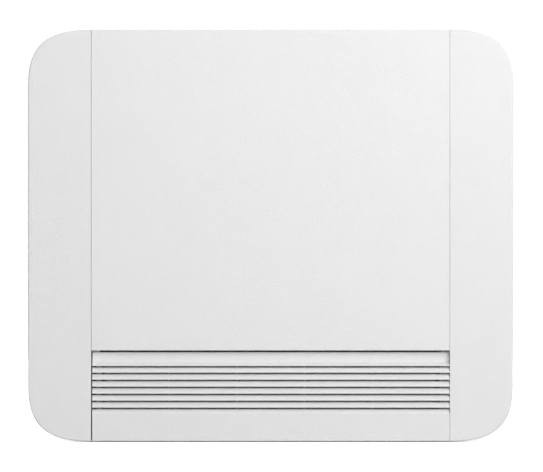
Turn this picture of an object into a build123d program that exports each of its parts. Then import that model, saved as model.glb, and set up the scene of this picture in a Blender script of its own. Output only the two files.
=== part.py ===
from build123d import *
from math import cos, radians, sin, tan
import os

# Floor standing fan coil unit, in millimetres. X runs to the right as seen from the room,
# Y towards the wall and Z up. The origin is the middle of the footprint, on the floor.

# Cabinet as seen from the front
cabinet_width = 700
cabinet_height = 595
cabinet_depth = 210
side_cover_width = 91  # from the outer face to the middle of the seam
corner_rise = 79  # height of a corner curve, whose run is the whole side cover
corner_pull = 0.71  # how far each handle of the corner curve reaches towards the corner
seam_gap = 0.3
ground_gap = 0.8  # under the covers and the grille, which hang on the chassis

# Moulded side covers
cover_wall = 2.5
cover_edge_radius = 2
cover_rib_thickness = 2
cover_rib_depth = 14
cover_rib_spacing = 110
cover_rib_count = 3
flange_depth = 12  # from the front face to the chassis flange behind the covers and panel

# Folded steel front panel
panel_sheet = 1
panel_bend_radius = 1
panel_bottom = 132.2
panel_top_return = 24

# Moulded intake grille with its plinth panel
grille_wall = 2.2
grille_left_gap = 1.7
grille_right_gap = 0.4
louvre_count = 6
louvre_pitch = 10.1
louvre_top_pitch = 9.55  # from the highest blade's lip to the lip of the top blade
louvre_slot = 2.2  # clear height between one lip and the blade below it
louvre_relief = 6  # how far the blades rake back from the front face
louvre_lip = 0.8
louvre_tail = 9
louvre_wall = 1.8
lowest_lip = 49.7
plinth_rake = 6.8  # height of the raked top edge of the plinth panel
top_rake = 5.25
top_relief = 10  # from the front face to the flange over the top blade
grille_panel_gap = 2.7
grille_return = 14
grille_edge_radius = 2
grille_rib_count = 6
grille_rib_thickness = 2
grille_rib_seat = 1  # how far the upright ribs reach into the blades' tails
grille_rib_depth = 6
grille_rib_bottom = 18

# Galvanised chassis
chassis_sheet = 1.5
bulkhead_inset = 12  # from the seam to the inner face of a bulkhead
side_flange = 22
chassis_floor_gap = 6
fit_gap = 0.3
base_upstand = 15
rail_drop = 34
rail_leg = 11.5

# Fixing holes, for M8
fixing_hole_radius = 4.5
wall_fixing_low = 110  # above the floor
wall_fixing_drop = 75  # below the top of the chassis
floor_fixing_side = 27  # from a bulkhead
floor_fixing_rear = 33.5  # from the back plate
floor_fixing_span = 140  # from front to back

# Air outlet in the top
frame_height = 20
frame_skin = 2.5
frame_edge_radius = 1
outlet_margin = 16
outlet_front_margin = 24
outlet_rear_margin = 35.6
outlet_rib_thickness = 2
outlet_rib_count = 3
blade_pitch = 15.7
blade_height = 14.4
blade_thickness = 1.8
blade_bow = 2.5
blade_top_gap = 1.5
blade_lean = 20

# Air filter behind the intake grille
filter_bottom = 22
filter_height = 108
filter_end_gap = 9  # to a bulkhead
filter_thickness = 6
filter_border = 7
filter_bar = 4
filter_bar_count = 4
filter_mesh_thickness = 1

# Cross-flow fan
fan_z = 150
fan_rear_gap = 26.5  # from the scroll to the back plate
fan_radius = 52
fan_bore = 38
fan_end_gap = 21  # from the wheel to a bulkhead
fan_blades = 24
fan_blade_thickness = 1.4
fan_blade_bow = 2
fan_blade_advance = 13  # degrees, from the inner to the outer edge of a blade
fan_disc_thickness = 3
fan_discs = 5
shaft_radius = 5
shaft_clearance = 1.5
scroll_clearance = 9
scroll_sheet = 1.5
scroll_start = 105  # degrees below the level of the shaft
scroll_flare = 20  # degrees below the level of the shaft, where the straight run begins
scroll_foot = 16  # upright edge of the scroll against the back plate
tongue_clearance = 7
tongue_angle = 153  # degrees above the level of the shaft, on the room side
tongue_lip = 14
tongue_bend = 4
bearing_radius = 17
bearing_thickness = 12
motor_radius = 42
motor_length = 50
motor_edge_radius = 3
motor_cap_length = 9
motor_cap_radius = 30
motor_plate_size = 104

# Finned coil
coil_depth = 44
coil_front_gap = 18.5  # to the front lining
coil_rear_gap = 2.5  # to the rear lining, at least
coil_tray_gap = 1.9
coil_lean = 35  # degrees from upright, leaning to the wall at the top
fin_pitch = 8
fin_thickness = 0.8
fin_proud = 1.2
end_plate_margin = 4
tube_radius = 4.75
tube_pitch = 25
row_pitch = 22
bend_leg = 5
window_margin = 6

# Water headers and connections in the left compartment
header_radius = 9
branch_radius = 8
header_overrun = 10
supply_offset = 32  # from the bulkhead's outer face to the header's axis
return_offset = 58
branch_inset = 4.5  # from a header's last stub to its branch
valve_radius = 14
valve_length = 30
valve_hex_length = 12
valve_recess = 9  # from the open ends to the wall
stem_radius = 5
stem_length = 22
cap_radius = 11
cap_length = 14
cap_edge_radius = 2
connection_bore = 9.3
connection_bore_depth = 13
vent_radius = 4
vent_length = 12

# Condensate trays
tray_wall = 2
tray_depth = 78
tray_height = 20
tray_bottom = 246
spout_radius = 6
spout_bore = 4
spout_length = 20
spout_inset = 16  # from the front of the tray to the spout's axis
valve_tray_width = 70
valve_tray_front_gap = 29.5
valve_tray_rear_gap = 21
valve_tray_height = 18
valve_tray_drop = 4  # from the bottom of the main tray to the rim of this one
spigot_radius = 8
spigot_bore = 6
spigot_length = 18

# Duct linings
lining_thickness = 6

# Control box in the right compartment
box_width = 56
box_depth = 118
box_height = 76
box_motor_gap = 3
box_wall = 2
box_rear_gap = 21
box_lid_thickness = 3
box_lid_radius = 2
gland_radius = 8
gland_bore = 4
gland_step = 1.5
gland_length = 12
gland_height = 24  # above the bottom of the box

# Places worked out from the sizes above
front_y = -cabinet_depth / 2
back_y = cabinet_depth / 2
half_width = cabinet_width / 2
seam_x = half_width - side_cover_width
cover_edge_x = seam_x + seam_gap / 2
panel_half = seam_x - seam_gap / 2
bulkhead_in = seam_x - bulkhead_inset
bulkhead_out = bulkhead_in + chassis_sheet
flange_y = front_y + flange_depth
plate_y = back_y - chassis_sheet
chassis_top = cabinet_height - frame_height
grille_top = panel_bottom - grille_panel_gap
relief_y = front_y + louvre_relief
top_relief_y = front_y + top_relief
tail_y = relief_y + louvre_tail
grille_rib_front = louvre_relief + louvre_tail - grille_rib_seat
filter_y = front_y + grille_rib_front + grille_rib_depth
duct_y = flange_y + chassis_sheet
tray_back_y = duct_y + tray_depth
tray_top = tray_bottom + tray_height
scroll_radius = fan_radius + scroll_clearance
fan_y = plate_y - fan_rear_gap - scroll_radius
fan_length = 2 * (bulkhead_in - fan_end_gap)
wall_fixing_high = chassis_top - wall_fixing_drop

# The coil has as many pairs of tubes as its slope has room for between the linings
lean_sin, lean_cos = sin(radians(coil_lean)), cos(radians(coil_lean))
end_plate_depth = coil_depth + 2 * end_plate_margin
coil_room = plate_y - duct_y - 2 * lining_thickness - coil_front_gap - coil_rear_gap
slope_room = (coil_room - end_plate_depth * lean_cos) / lean_sin - 2 * end_plate_margin
tube_pairs = int(slope_room / (2 * tube_pitch) + 1e-6)
coil_height = 2 * tube_pairs * tube_pitch
end_plate_height = coil_height + 2 * end_plate_margin
coil_reach_y = (end_plate_height * lean_sin + end_plate_depth * lean_cos) / 2
coil_reach_z = (end_plate_height * lean_cos + end_plate_depth * lean_sin) / 2
coil_y = duct_y + lining_thickness + coil_front_gap + coil_reach_y
coil_z = tray_top + coil_tray_gap + coil_reach_z


def front_plane(depth=0):
    """The front elevation, moved back by depth, looking from the room."""
    return Plane.XZ.offset(-front_y - depth)


def section_plane(x):
    """The section across the unit at x, with Y to the right and Z up."""
    return Plane.YZ.offset(x)


def coil_plane(x):
    """The coil's own section at x, with X across its rows and Y up its slope."""
    across = Vector(0, 1, 0).rotate(Axis.X, -coil_lean)
    return Plane(origin=(x, coil_y, coil_z), x_dir=across, z_dir=(1, 0, 0))


os.makedirs("parts", exist_ok=True)


# Moulded side covers, open to the wall


def side_face(inset, seam):
    """Front view of the right side cover, drawn in by inset, from the seam outwards."""
    edge, top, low = half_width - inset, cabinet_height - inset, ground_gap + inset
    run, rise = edge - seam, corner_rise - inset
    pull_x, pull_z = corner_pull * run, corner_pull * rise
    with BuildSketch() as face:
        with BuildLine():
            Bezier((seam, top), (seam + pull_x, top), (edge, top - rise + pull_z), (edge, top - rise))
            Line((edge, top - rise), (edge, low + rise))
            Bezier((edge, low + rise), (edge, low + rise - pull_z), (seam + pull_x, low), (seam, low))
            Line((seam, low), (seam, top))
        make_face()
    return face.sketch


with BuildPart() as right_side_cover:
    with BuildSketch(front_plane()):
        add(side_face(0, cover_edge_x))
    extrude(amount=-cabinet_depth)
    outline = faces().sort_by(Axis.Y)[0].edges().sort_by(Axis.X)
    fillet(outline[1:], cover_edge_radius)
    with BuildSketch(front_plane(cover_wall)):
        add(side_face(cover_wall, cover_edge_x + cover_wall))
    extrude(amount=-cabinet_depth, mode=Mode.SUBTRACT)
    # the seam side ends at the chassis flange
    with BuildSketch(front_plane(flange_depth)):
        with Locations((cover_edge_x, ground_gap + cover_wall)):
            Rectangle(cover_wall, cabinet_height - ground_gap - 2 * cover_wall, align=Align.MIN)
    extrude(amount=-cabinet_depth, mode=Mode.SUBTRACT)
    # level stiffening ribs on the inside of the outer wall
    rib_lowest = (cabinet_height - (cover_rib_count - 1) * cover_rib_spacing) / 2
    for rib in range(cover_rib_count):
        with BuildSketch(Plane.XY.offset(rib_lowest + rib * cover_rib_spacing)):
            with Locations((half_width - cover_wall, front_y + cover_wall)):
                Rectangle(
                    cover_rib_depth,
                    cabinet_depth - 2 * cover_wall,
                    align=(Align.MAX, Align.MIN),
                )
        extrude(amount=cover_rib_thickness / 2, both=True)
right_side_cover.part.label = "right_side_cover"
export_step(right_side_cover.part, "parts/right_side_cover.step")

with BuildPart() as left_side_cover:
    mirror(right_side_cover.part, about=Plane.YZ)
left_side_cover.part.label = "left_side_cover"
export_step(left_side_cover.part, "parts/left_side_cover.step")


# Front panel, folded from one sheet
panel_height = cabinet_height - panel_bottom
with BuildPart() as front_panel:
    with BuildSketch(front_plane()):
        with Locations((0, panel_bottom)):
            Rectangle(2 * panel_half, panel_height, align=(Align.CENTER, Align.MIN))
    extrude(amount=-panel_top_return)
    fillet(faces().sort_by(Axis.Y)[0].edges(), panel_bend_radius)
    with BuildSketch(front_plane(panel_sheet)):
        with Locations((0, panel_bottom + panel_sheet)):
            Rectangle(
                2 * (panel_half - panel_sheet),
                panel_height - 2 * panel_sheet,
                align=(Align.CENTER, Align.MIN),
            )
    extrude(amount=-panel_top_return, mode=Mode.SUBTRACT)
    # side and bottom returns end at the chassis flange, the top one carries on
    with BuildSketch(front_plane(flange_depth)):
        with Locations((0, panel_bottom)):
            Rectangle(
                2 * panel_half, panel_height - panel_sheet, align=(Align.CENTER, Align.MIN)
            )
    extrude(amount=-panel_top_return, mode=Mode.SUBTRACT)
front_panel.part.label = "front_panel"
export_step(front_panel.part, "parts/front_panel.step")


# Intake grille, one moulding of raked blades over a plinth panel
grille_left = -cover_edge_x + grille_left_gap
grille_right = cover_edge_x - grille_right_gap
grille_half_inside = bulkhead_in - fit_gap
plinth_top = lowest_lip - louvre_slot
highest_lip = lowest_lip + (louvre_count - 1) * louvre_pitch
top_lip = highest_lip + louvre_top_pitch


def blade_section(lip_z, next_lip_z):
    """Section of one blade: a lip at the front, a raked face and a level tail behind."""
    crest = next_lip_z - louvre_slot
    with BuildSketch() as section:
        with BuildLine():
            Polyline(
                (front_y, lip_z),
                (front_y, lip_z + louvre_lip),
                (relief_y, crest),
                (tail_y, crest),
                (tail_y, crest - louvre_wall),
                (relief_y + louvre_wall / 2, crest - louvre_wall),
                (front_y + louvre_wall, lip_z),
                close=True,
            )
        make_face()
    return section.sketch


with BuildPart() as intake_grille:
    with BuildSketch(section_plane(grille_left)):
        # plinth panel with its raked top edge and its foot
        with BuildLine():
            Polyline(
                (front_y, ground_gap),
                (front_y, plinth_top - plinth_rake),
                (relief_y, plinth_top),
                (tail_y, plinth_top),
                (tail_y, plinth_top - grille_wall),
                (relief_y + grille_wall / 2, plinth_top - grille_wall),
                (front_y + grille_wall, plinth_top - plinth_rake - grille_wall / 2),
                (front_y + grille_wall, ground_gap + grille_wall),
                (front_y + grille_return, ground_gap + grille_wall),
                (front_y + grille_return, ground_gap),
                close=True,
            )
        make_face()
        # top blade with its recessed flange
        with BuildLine():
            Polyline(
                (front_y, top_lip),
                (front_y, top_lip + louvre_lip),
                (top_relief_y, top_lip + top_rake),
                (top_relief_y, grille_top),
                (tail_y, grille_top),
                (tail_y, grille_top - grille_wall),
                (top_relief_y + grille_wall, grille_top - grille_wall),
                (top_relief_y + grille_wall, top_lip + top_rake - grille_wall / 2),
                (front_y + louvre_wall, top_lip),
                close=True,
            )
        make_face()
        for blade in range(louvre_count - 1):
            blade_lip = lowest_lip + blade * louvre_pitch
            add(blade_section(blade_lip, blade_lip + louvre_pitch))
        add(blade_section(highest_lip, top_lip))
    extrude(amount=grille_right - grille_left)
    fillet(faces().sort_by(Axis.Z)[0].edges().sort_by(Axis.Y)[0], grille_edge_radius)
    # upright ribs behind the blades, which stop short of the ends
    rib_span = 2 * grille_half_inside - grille_rib_thickness
    with BuildSketch(front_plane(grille_rib_front)):
        with Locations((0, (grille_rib_bottom + grille_top) / 2)):
            with GridLocations(rib_span / (grille_rib_count - 1), 1, grille_rib_count, 1):
                Rectangle(grille_rib_thickness, grille_top - grille_rib_bottom)
    extrude(amount=-grille_rib_depth)
intake_grille.part.label = "intake_grille"
export_step(intake_grille.part, "parts/intake_grille.step")


# Chassis: two flanged bulkheads, back and base plates and a top rail
flange_top = chassis_top - chassis_floor_gap
with BuildPart() as right_bulkhead:
    # the sheet steps back to the filter behind the intake grille
    with BuildSketch(section_plane(bulkhead_in)):
        with Locations((flange_y, 0)):
            Rectangle(plate_y - flange_y, chassis_top, align=Align.MIN)
            Rectangle(filter_y - flange_y, panel_bottom, align=Align.MIN, mode=Mode.SUBTRACT)
    extrude(amount=chassis_sheet)
    # front, stepped and rear flanges, turned outwards behind the side cover
    for y, low, high in (
        (flange_y, panel_bottom, flange_top),
        (filter_y, chassis_floor_gap, panel_bottom),
        (plate_y - chassis_sheet, chassis_floor_gap, flange_top),
    ):
        with BuildSketch(Plane.XZ.offset(-y)):
            with Locations((bulkhead_in, low)):
                Rectangle(side_flange, high - low, align=Align.MIN)
        extrude(amount=-chassis_sheet)
    # bottom and top flanges, turned outwards as far as the seam
    for z, front in ((0, filter_y), (chassis_top - chassis_sheet, flange_y)):
        with BuildSketch(Plane.XY.offset(z)):
            with Locations((bulkhead_in, front)):
                Rectangle(bulkhead_inset - fit_gap, plate_y - front, align=Align.MIN)
        extrude(amount=chassis_sheet)
    # window for the ends of the coil tubes
    with BuildSketch(coil_plane(bulkhead_in)):
        Rectangle(
            row_pitch + 2 * (tube_radius + window_margin),
            coil_height - tube_pitch + 2 * (tube_radius + window_margin),
        )
    extrude(amount=chassis_sheet, mode=Mode.SUBTRACT)
    # shaft hole
    with BuildSketch(section_plane(bulkhead_in)):
        with Locations((fan_y, fan_z)):
            Circle(shaft_radius + shaft_clearance)
    extrude(amount=chassis_sheet, mode=Mode.SUBTRACT)
    # wall fixing holes through the rear flange
    with BuildSketch(Plane.XZ.offset(-plate_y)):
        with Locations((seam_x, wall_fixing_low), (seam_x, wall_fixing_high)):
            Circle(fixing_hole_radius)
    extrude(amount=chassis_sheet, mode=Mode.SUBTRACT)
right_bulkhead.part.label = "right_bulkhead"
export_step(right_bulkhead.part, "parts/right_bulkhead.step")

spout_y = duct_y + spout_inset
spout_z = tray_bottom + spout_radius
with BuildPart() as left_bulkhead:
    mirror(right_bulkhead.part, about=Plane.YZ)
    # hole for the spout of the condensate tray
    with BuildSketch(section_plane(-bulkhead_in)):
        with Locations((spout_y, spout_z)):
            Circle(spout_radius + fit_gap)
    extrude(amount=-chassis_sheet, mode=Mode.SUBTRACT)
left_bulkhead.part.label = "left_bulkhead"
export_step(left_bulkhead.part, "parts/left_bulkhead.step")

with BuildPart() as back_plate:
    with BuildSketch(Plane.XZ.offset(-plate_y)):
        with Locations((0, chassis_floor_gap)):
            Rectangle(
                2 * (bulkhead_in + side_flange),
                chassis_top - chassis_floor_gap,
                align=(Align.CENTER, Align.MIN),
            )
        with Locations((0, (wall_fixing_low + wall_fixing_high) / 2)):
            with GridLocations(2 * seam_x, wall_fixing_high - wall_fixing_low, 2, 2):
                Circle(fixing_hole_radius, mode=Mode.SUBTRACT)
    extrude(amount=-chassis_sheet)
back_plate.part.label = "back_plate"
export_step(back_plate.part, "parts/back_plate.step")

base_front_y = front_y + grille_return
with BuildPart() as base_plate:
    with BuildSketch():
        with Locations((0, base_front_y)):
            Rectangle(2 * bulkhead_in, plate_y - base_front_y, align=(Align.CENTER, Align.MIN))
    extrude(amount=base_upstand)
    with BuildSketch(Plane.XY.offset(chassis_sheet)):
        with Locations((0, base_front_y + chassis_sheet)):
            Rectangle(
                2 * (bulkhead_in - chassis_sheet),
                plate_y - base_front_y - 2 * chassis_sheet,
                align=(Align.CENTER, Align.MIN),
            )
    extrude(amount=base_upstand, mode=Mode.SUBTRACT)
    with BuildSketch():
        with Locations((0, plate_y - floor_fixing_rear - floor_fixing_span / 2)):
            with GridLocations(2 * (bulkhead_in - floor_fixing_side), floor_fixing_span, 2, 2):
                Circle(fixing_hole_radius)
    extrude(amount=chassis_sheet, mode=Mode.SUBTRACT)
base_plate.part.label = "base_plate"
export_step(base_plate.part, "parts/base_plate.step")

rail_top = cabinet_height - panel_sheet
with BuildPart() as top_rail:
    with BuildSketch(section_plane(-bulkhead_in)):
        with Locations((flange_y, rail_top)):
            Rectangle(chassis_sheet, rail_drop, align=(Align.MIN, Align.MAX))
            Rectangle(rail_leg, chassis_sheet, align=(Align.MIN, Align.MAX))
    extrude(amount=2 * bulkhead_in)
top_rail.part.label = "top_rail"
export_step(top_rail.part, "parts/top_rail.step")


# Air outlet: a moulded frame and its row of fixed blades
frame_front_y = front_y + panel_top_return + seam_gap
outlet_half = panel_half - outlet_margin
outlet_front_y = frame_front_y + outlet_front_margin
outlet_depth = back_y - outlet_rear_margin - outlet_front_y
outlet_middle_y = outlet_front_y + outlet_depth / 2
blade_count = int(outlet_depth / blade_pitch)
with BuildPart() as outlet_frame:
    with BuildSketch(Plane.XY.offset(chassis_top)):
        with Locations((0, frame_front_y)):
            Rectangle(2 * panel_half, back_y - frame_front_y, align=(Align.CENTER, Align.MIN))
    extrude(amount=frame_height)
    fillet(faces().sort_by(Axis.Z)[-1].edges(), frame_edge_radius)
    # hollow underside, with a skirt around the rim and another around the opening
    with BuildSketch(Plane.XY.offset(chassis_top)):
        with Locations((0, frame_front_y + frame_skin)):
            Rectangle(
                2 * (panel_half - frame_skin),
                back_y - frame_front_y - 2 * frame_skin,
                align=(Align.CENTER, Align.MIN),
            )
        with Locations((0, outlet_middle_y)):
            Rectangle(
                2 * (outlet_half + frame_skin), outlet_depth + 2 * frame_skin, mode=Mode.SUBTRACT
            )
    extrude(amount=frame_height - frame_skin, mode=Mode.SUBTRACT)
    with BuildSketch(Plane.XY.offset(chassis_top)):
        with Locations((0, outlet_middle_y)):
            Rectangle(2 * outlet_half, outlet_depth)
    extrude(amount=frame_height, mode=Mode.SUBTRACT)
    # cross ribs under the blades
    with BuildSketch(Plane.XY.offset(chassis_top)):
        with Locations((0, outlet_middle_y)):
            with GridLocations(2 * outlet_half / (outlet_rib_count + 1), 1, outlet_rib_count, 1):
                Rectangle(outlet_rib_thickness, outlet_depth)
    extrude(amount=frame_height - blade_top_gap - blade_height - 3 * fit_gap)
outlet_frame.part.label = "outlet_frame"
export_step(outlet_frame.part, "parts/outlet_frame.step")

blade_top = Vector(0, blade_height / 2).rotate(Axis.Z, -blade_lean)
with BuildSketch() as outlet_blade:
    with BuildLine():
        SagittaArc(-blade_top, blade_top, blade_bow)
    trace(line_width=blade_thickness)
with BuildPart() as outlet_blades:
    with BuildSketch(section_plane(-outlet_half)):
        with Locations((outlet_middle_y, cabinet_height - blade_top_gap - blade_height / 2)):
            with GridLocations(outlet_depth / blade_count, 1, blade_count, 1):
                add(outlet_blade.sketch)
    extrude(amount=2 * outlet_half)
outlet_blades.part.label = "outlet_blades"
export_step(outlet_blades.part, "parts/outlet_blades.step")


# Air filter: a frame with bars, and the mesh that it holds
filter_z = filter_bottom + filter_height / 2
filter_half_length = bulkhead_in - filter_end_gap
mesh_half_length = filter_half_length - filter_border / 2
mesh_height = filter_height - filter_border
with BuildPart() as filter_frame:
    with BuildSketch(Plane.XZ.offset(-filter_y)):
        with Locations((0, filter_z)):
            Rectangle(2 * filter_half_length, filter_height)
            Rectangle(
                2 * (filter_half_length - filter_border),
                filter_height - 2 * filter_border,
                mode=Mode.SUBTRACT,
            )
            with GridLocations(2 * filter_half_length / (filter_bar_count + 1), 1, filter_bar_count, 1):
                Rectangle(filter_bar, mesh_height)
    extrude(amount=-filter_thickness)
    with BuildSketch(Plane.XZ.offset(-filter_y - filter_thickness / 2)):
        with Locations((0, filter_z)):
            Rectangle(2 * mesh_half_length, mesh_height)
    extrude(amount=filter_mesh_thickness / 2, both=True, mode=Mode.SUBTRACT)
filter_frame.part.label = "filter_frame"
export_step(filter_frame.part, "parts/filter_frame.step")

with BuildPart() as filter_mesh:
    with BuildSketch(Plane.XZ.offset(-filter_y - filter_thickness / 2)):
        with Locations((0, filter_z)):
            Rectangle(2 * mesh_half_length, mesh_height)
    extrude(amount=filter_mesh_thickness / 2, both=True)
filter_mesh.part.label = "filter_mesh"
export_step(filter_mesh.part, "parts/filter_mesh.step")


# Cross-flow fan: wheel and shaft, scroll, tongue, bearing and motor
shaft_end = bulkhead_out + bearing_thickness
fan_blade_tip = Vector(fan_radius - fan_blade_thickness, 0).rotate(Axis.Z, fan_blade_advance)
with BuildSketch() as fan_blade:
    with BuildLine():
        SagittaArc((fan_bore, 0), fan_blade_tip, fan_blade_bow)
    trace(line_width=fan_blade_thickness)
with BuildPart() as fan_wheel:
    with BuildSketch(section_plane(-fan_length / 2)):
        with Locations((fan_y, fan_z)):
            with PolarLocations(0, fan_blades):
                add(fan_blade.sketch)
    extrude(amount=fan_length)
    for disc in range(fan_discs):
        disc_x = disc * (fan_length - fan_disc_thickness) / (fan_discs - 1) - fan_length / 2
        with BuildSketch(section_plane(disc_x)):
            with Locations((fan_y, fan_z)):
                Circle(fan_radius)
                if 0 < disc < fan_discs - 1:
                    Circle(fan_bore, mode=Mode.SUBTRACT)
        extrude(amount=fan_disc_thickness)
    with BuildSketch(section_plane(-shaft_end)):
        with Locations((fan_y, fan_z)):
            Circle(shaft_radius)
    extrude(amount=2 * shaft_end)
fan_wheel.part.label = "fan_wheel"
export_step(fan_wheel.part, "parts/fan_wheel.step")

foot_y = plate_y - scroll_sheet / 2
flare_start = Vector(scroll_radius, 0).rotate(Axis.Z, -scroll_flare) + Vector(fan_y, fan_z)
flare_top_z = flare_start.Y + (foot_y - flare_start.X) / tan(radians(scroll_flare))
scroll_top = flare_top_z + scroll_foot
with BuildPart() as fan_scroll:
    with BuildSketch(section_plane(-bulkhead_in)):
        with BuildLine():
            CenterArc((fan_y, fan_z), scroll_radius, -scroll_start, scroll_start - scroll_flare)
            Polyline(flare_start, (foot_y, flare_top_z), (foot_y, scroll_top))
        trace(line_width=scroll_sheet)
    extrude(amount=2 * bulkhead_in)
fan_scroll.part.label = "fan_scroll"
export_step(fan_scroll.part, "parts/fan_scroll.step")

nose_radius = fan_radius + tongue_clearance + scroll_sheet
tongue_nose = Vector(nose_radius, 0).rotate(Axis.Z, tongue_angle) + Vector(fan_y, fan_z)
tongue_head = Vector(tray_back_y - scroll_sheet / 2, tray_bottom - scroll_sheet / 2)
with BuildPart() as fan_tongue:
    with BuildSketch(section_plane(-bulkhead_in)):
        with BuildLine():
            FilletPolyline(
                tongue_head - Vector(tongue_lip, 0),
                tongue_head,
                tongue_nose,
                tongue_nose - Vector(tongue_lip, 0),
                radius=tongue_bend,
            )
        trace(line_width=scroll_sheet)
    extrude(amount=2 * bulkhead_in)
fan_tongue.part.label = "fan_tongue"
export_step(fan_tongue.part, "parts/fan_tongue.step")

with BuildPart() as fan_bearing:
    with BuildSketch(section_plane(-bulkhead_out)):
        with Locations((fan_y, fan_z)):
            Circle(bearing_radius)
            Circle(shaft_radius, mode=Mode.SUBTRACT)
    extrude(amount=-bearing_thickness)
fan_bearing.part.label = "fan_bearing"
export_step(fan_bearing.part, "parts/fan_bearing.step")

with BuildPart() as motor_plate:
    with BuildSketch(section_plane(bulkhead_out)):
        with Locations((fan_y, fan_z)):
            RectangleRounded(motor_plate_size, motor_plate_size, bearing_radius)
            Circle(bearing_radius, mode=Mode.SUBTRACT)
    extrude(amount=chassis_sheet)
motor_plate.part.label = "motor_plate"
export_step(motor_plate.part, "parts/motor_plate.step")

motor_x = bulkhead_out + chassis_sheet
with BuildPart() as fan_motor:
    with BuildSketch(section_plane(motor_x)):
        with Locations((fan_y, fan_z)):
            Circle(motor_radius)
    extrude(amount=motor_length)
    fillet(faces().sort_by(Axis.X)[-1].edges(), motor_edge_radius)
    with BuildSketch(section_plane(motor_x + motor_length)):
        with Locations((fan_y, fan_z)):
            Circle(motor_cap_radius)
    extrude(amount=motor_cap_length)
    with BuildSketch(section_plane(motor_x)):
        with Locations((fan_y, fan_z)):
            Circle(shaft_radius)
    extrude(amount=bearing_thickness, mode=Mode.SUBTRACT)
fan_motor.part.label = "fan_motor"
export_step(fan_motor.part, "parts/fan_motor.step")


# Finned coil between two end plates, leaning to the wall over the fan
fin_half = bulkhead_in - chassis_sheet
fin_count = int(2 * fin_half / fin_pitch)
with BuildPart() as coil_fins:
    with BuildSketch(Plane(coil_plane(0).origin, x_dir=(1, 0, 0), z_dir=coil_plane(0).y_dir)):
        Rectangle(2 * fin_half, coil_depth - 2 * fin_proud)
        with GridLocations(fin_pitch, 1, fin_count, 1):
            Rectangle(fin_thickness, coil_depth)
    extrude(amount=coil_height / 2, both=True)
coil_fins.part.label = "coil_fins"
export_step(coil_fins.part, "parts/coil_fins.step")

with BuildPart() as coil_right_plate:
    with BuildSketch(coil_plane(fin_half)):
        Rectangle(end_plate_depth, end_plate_height)
    extrude(amount=chassis_sheet)
coil_right_plate.part.label = "coil_right_plate"
export_step(coil_right_plate.part, "parts/coil_right_plate.step")

with BuildPart() as coil_left_plate:
    mirror(coil_right_plate.part, about=Plane.YZ)
coil_left_plate.part.label = "coil_left_plate"
export_step(coil_left_plate.part, "parts/coil_left_plate.step")


def tube_bend(pitch):
    """One U bend with its legs, rising from the plane's origin, between two tubes."""
    with BuildPart() as bend:
        with BuildLine(Plane.XZ) as path:
            Line((-pitch / 2, 0), (-pitch / 2, bend_leg))
            CenterArc((0, bend_leg), pitch / 2, 180, -180)
            Line((pitch / 2, bend_leg), (pitch / 2, 0))
        with BuildSketch():
            with Locations((-pitch / 2, 0)):
                Circle(tube_radius)
        sweep(path=path.line)
    return bend.part


long_bend = tube_bend(tube_pitch)
with BuildPart() as coil_return_bends:
    with Locations(coil_plane(bulkhead_in)):
        with GridLocations(row_pitch, 2 * tube_pitch, 2, tube_pairs):
            with Locations(Location((0, 0, 0), (0, 0, 90))):
                add(long_bend)
coil_return_bends.part.label = "coil_return_bends"
export_step(coil_return_bends.part, "parts/coil_return_bends.step")

cross_bend = tube_bend(row_pitch)
left_coil_plane = Plane(coil_plane(-bulkhead_in).origin, x_dir=coil_plane(0).x_dir, z_dir=(-1, 0, 0))
with BuildPart() as coil_cross_bends:
    with Locations(left_coil_plane):
        with Locations((0, -tube_pitch / 2)):
            with GridLocations(1, 2 * tube_pitch, 1, tube_pairs):
                add(cross_bend)
coil_cross_bends.part.label = "coil_cross_bends"
export_step(coil_cross_bends.part, "parts/coil_cross_bends.step")


# Water headers, each with its stubs to one row and its branch to a valve
valve_y = back_y - valve_recess - valve_length
first_stub = (tube_pitch - coil_height) / 2
last_stub = coil_height / 2 - 1.5 * tube_pitch
header_top = last_stub + header_overrun
supply_branch = first_stub - tube_pitch / 2
return_branch = last_stub - branch_inset


def header_tube(offset, across, branch):
    """A header up the coil's slope at offset from the bulkhead, over the row at across."""
    plane = coil_plane(-bulkhead_out - offset)
    low = min(first_stub, branch) - header_overrun
    low_end = plane.from_local_coords((across, low, 0))
    branch_start = plane.from_local_coords((across, branch, 0))
    with BuildPart() as tube:
        with BuildSketch(Plane(low_end, x_dir=(1, 0, 0), z_dir=plane.y_dir)):
            Circle(header_radius)
        extrude(amount=header_top - low)
        with BuildSketch(Plane(branch_start, x_dir=(1, 0, 0), z_dir=(0, 1, 0))):
            Circle(branch_radius)
        extrude(amount=valve_y - branch_start.Y)
        with BuildSketch(coil_plane(-bulkhead_in)):
            with Locations((across, -tube_pitch / 2)):
                with GridLocations(1, 2 * tube_pitch, 1, tube_pairs):
                    Circle(tube_radius)
        extrude(amount=-chassis_sheet - offset)
    return tube


supply_header = header_tube(supply_offset, row_pitch / 2, supply_branch)
supply_header.part.label = "supply_header"
export_step(supply_header.part, "parts/supply_header.step")
return_header = header_tube(return_offset, -row_pitch / 2, return_branch)
return_header.part.label = "return_header"
export_step(return_header.part, "parts/return_header.step")

vent_plane = coil_plane(-bulkhead_out - return_offset)
vent_seat = vent_plane.from_local_coords((-row_pitch / 2, header_top, 0))

with BuildPart() as air_vent:
    with BuildSketch(Plane(vent_seat, x_dir=(1, 0, 0), z_dir=coil_plane(0).y_dir)):
        Circle(vent_radius)
    extrude(amount=vent_length)
air_vent.part.label = "air_vent"
export_step(air_vent.part, "parts/air_vent.step")


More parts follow.
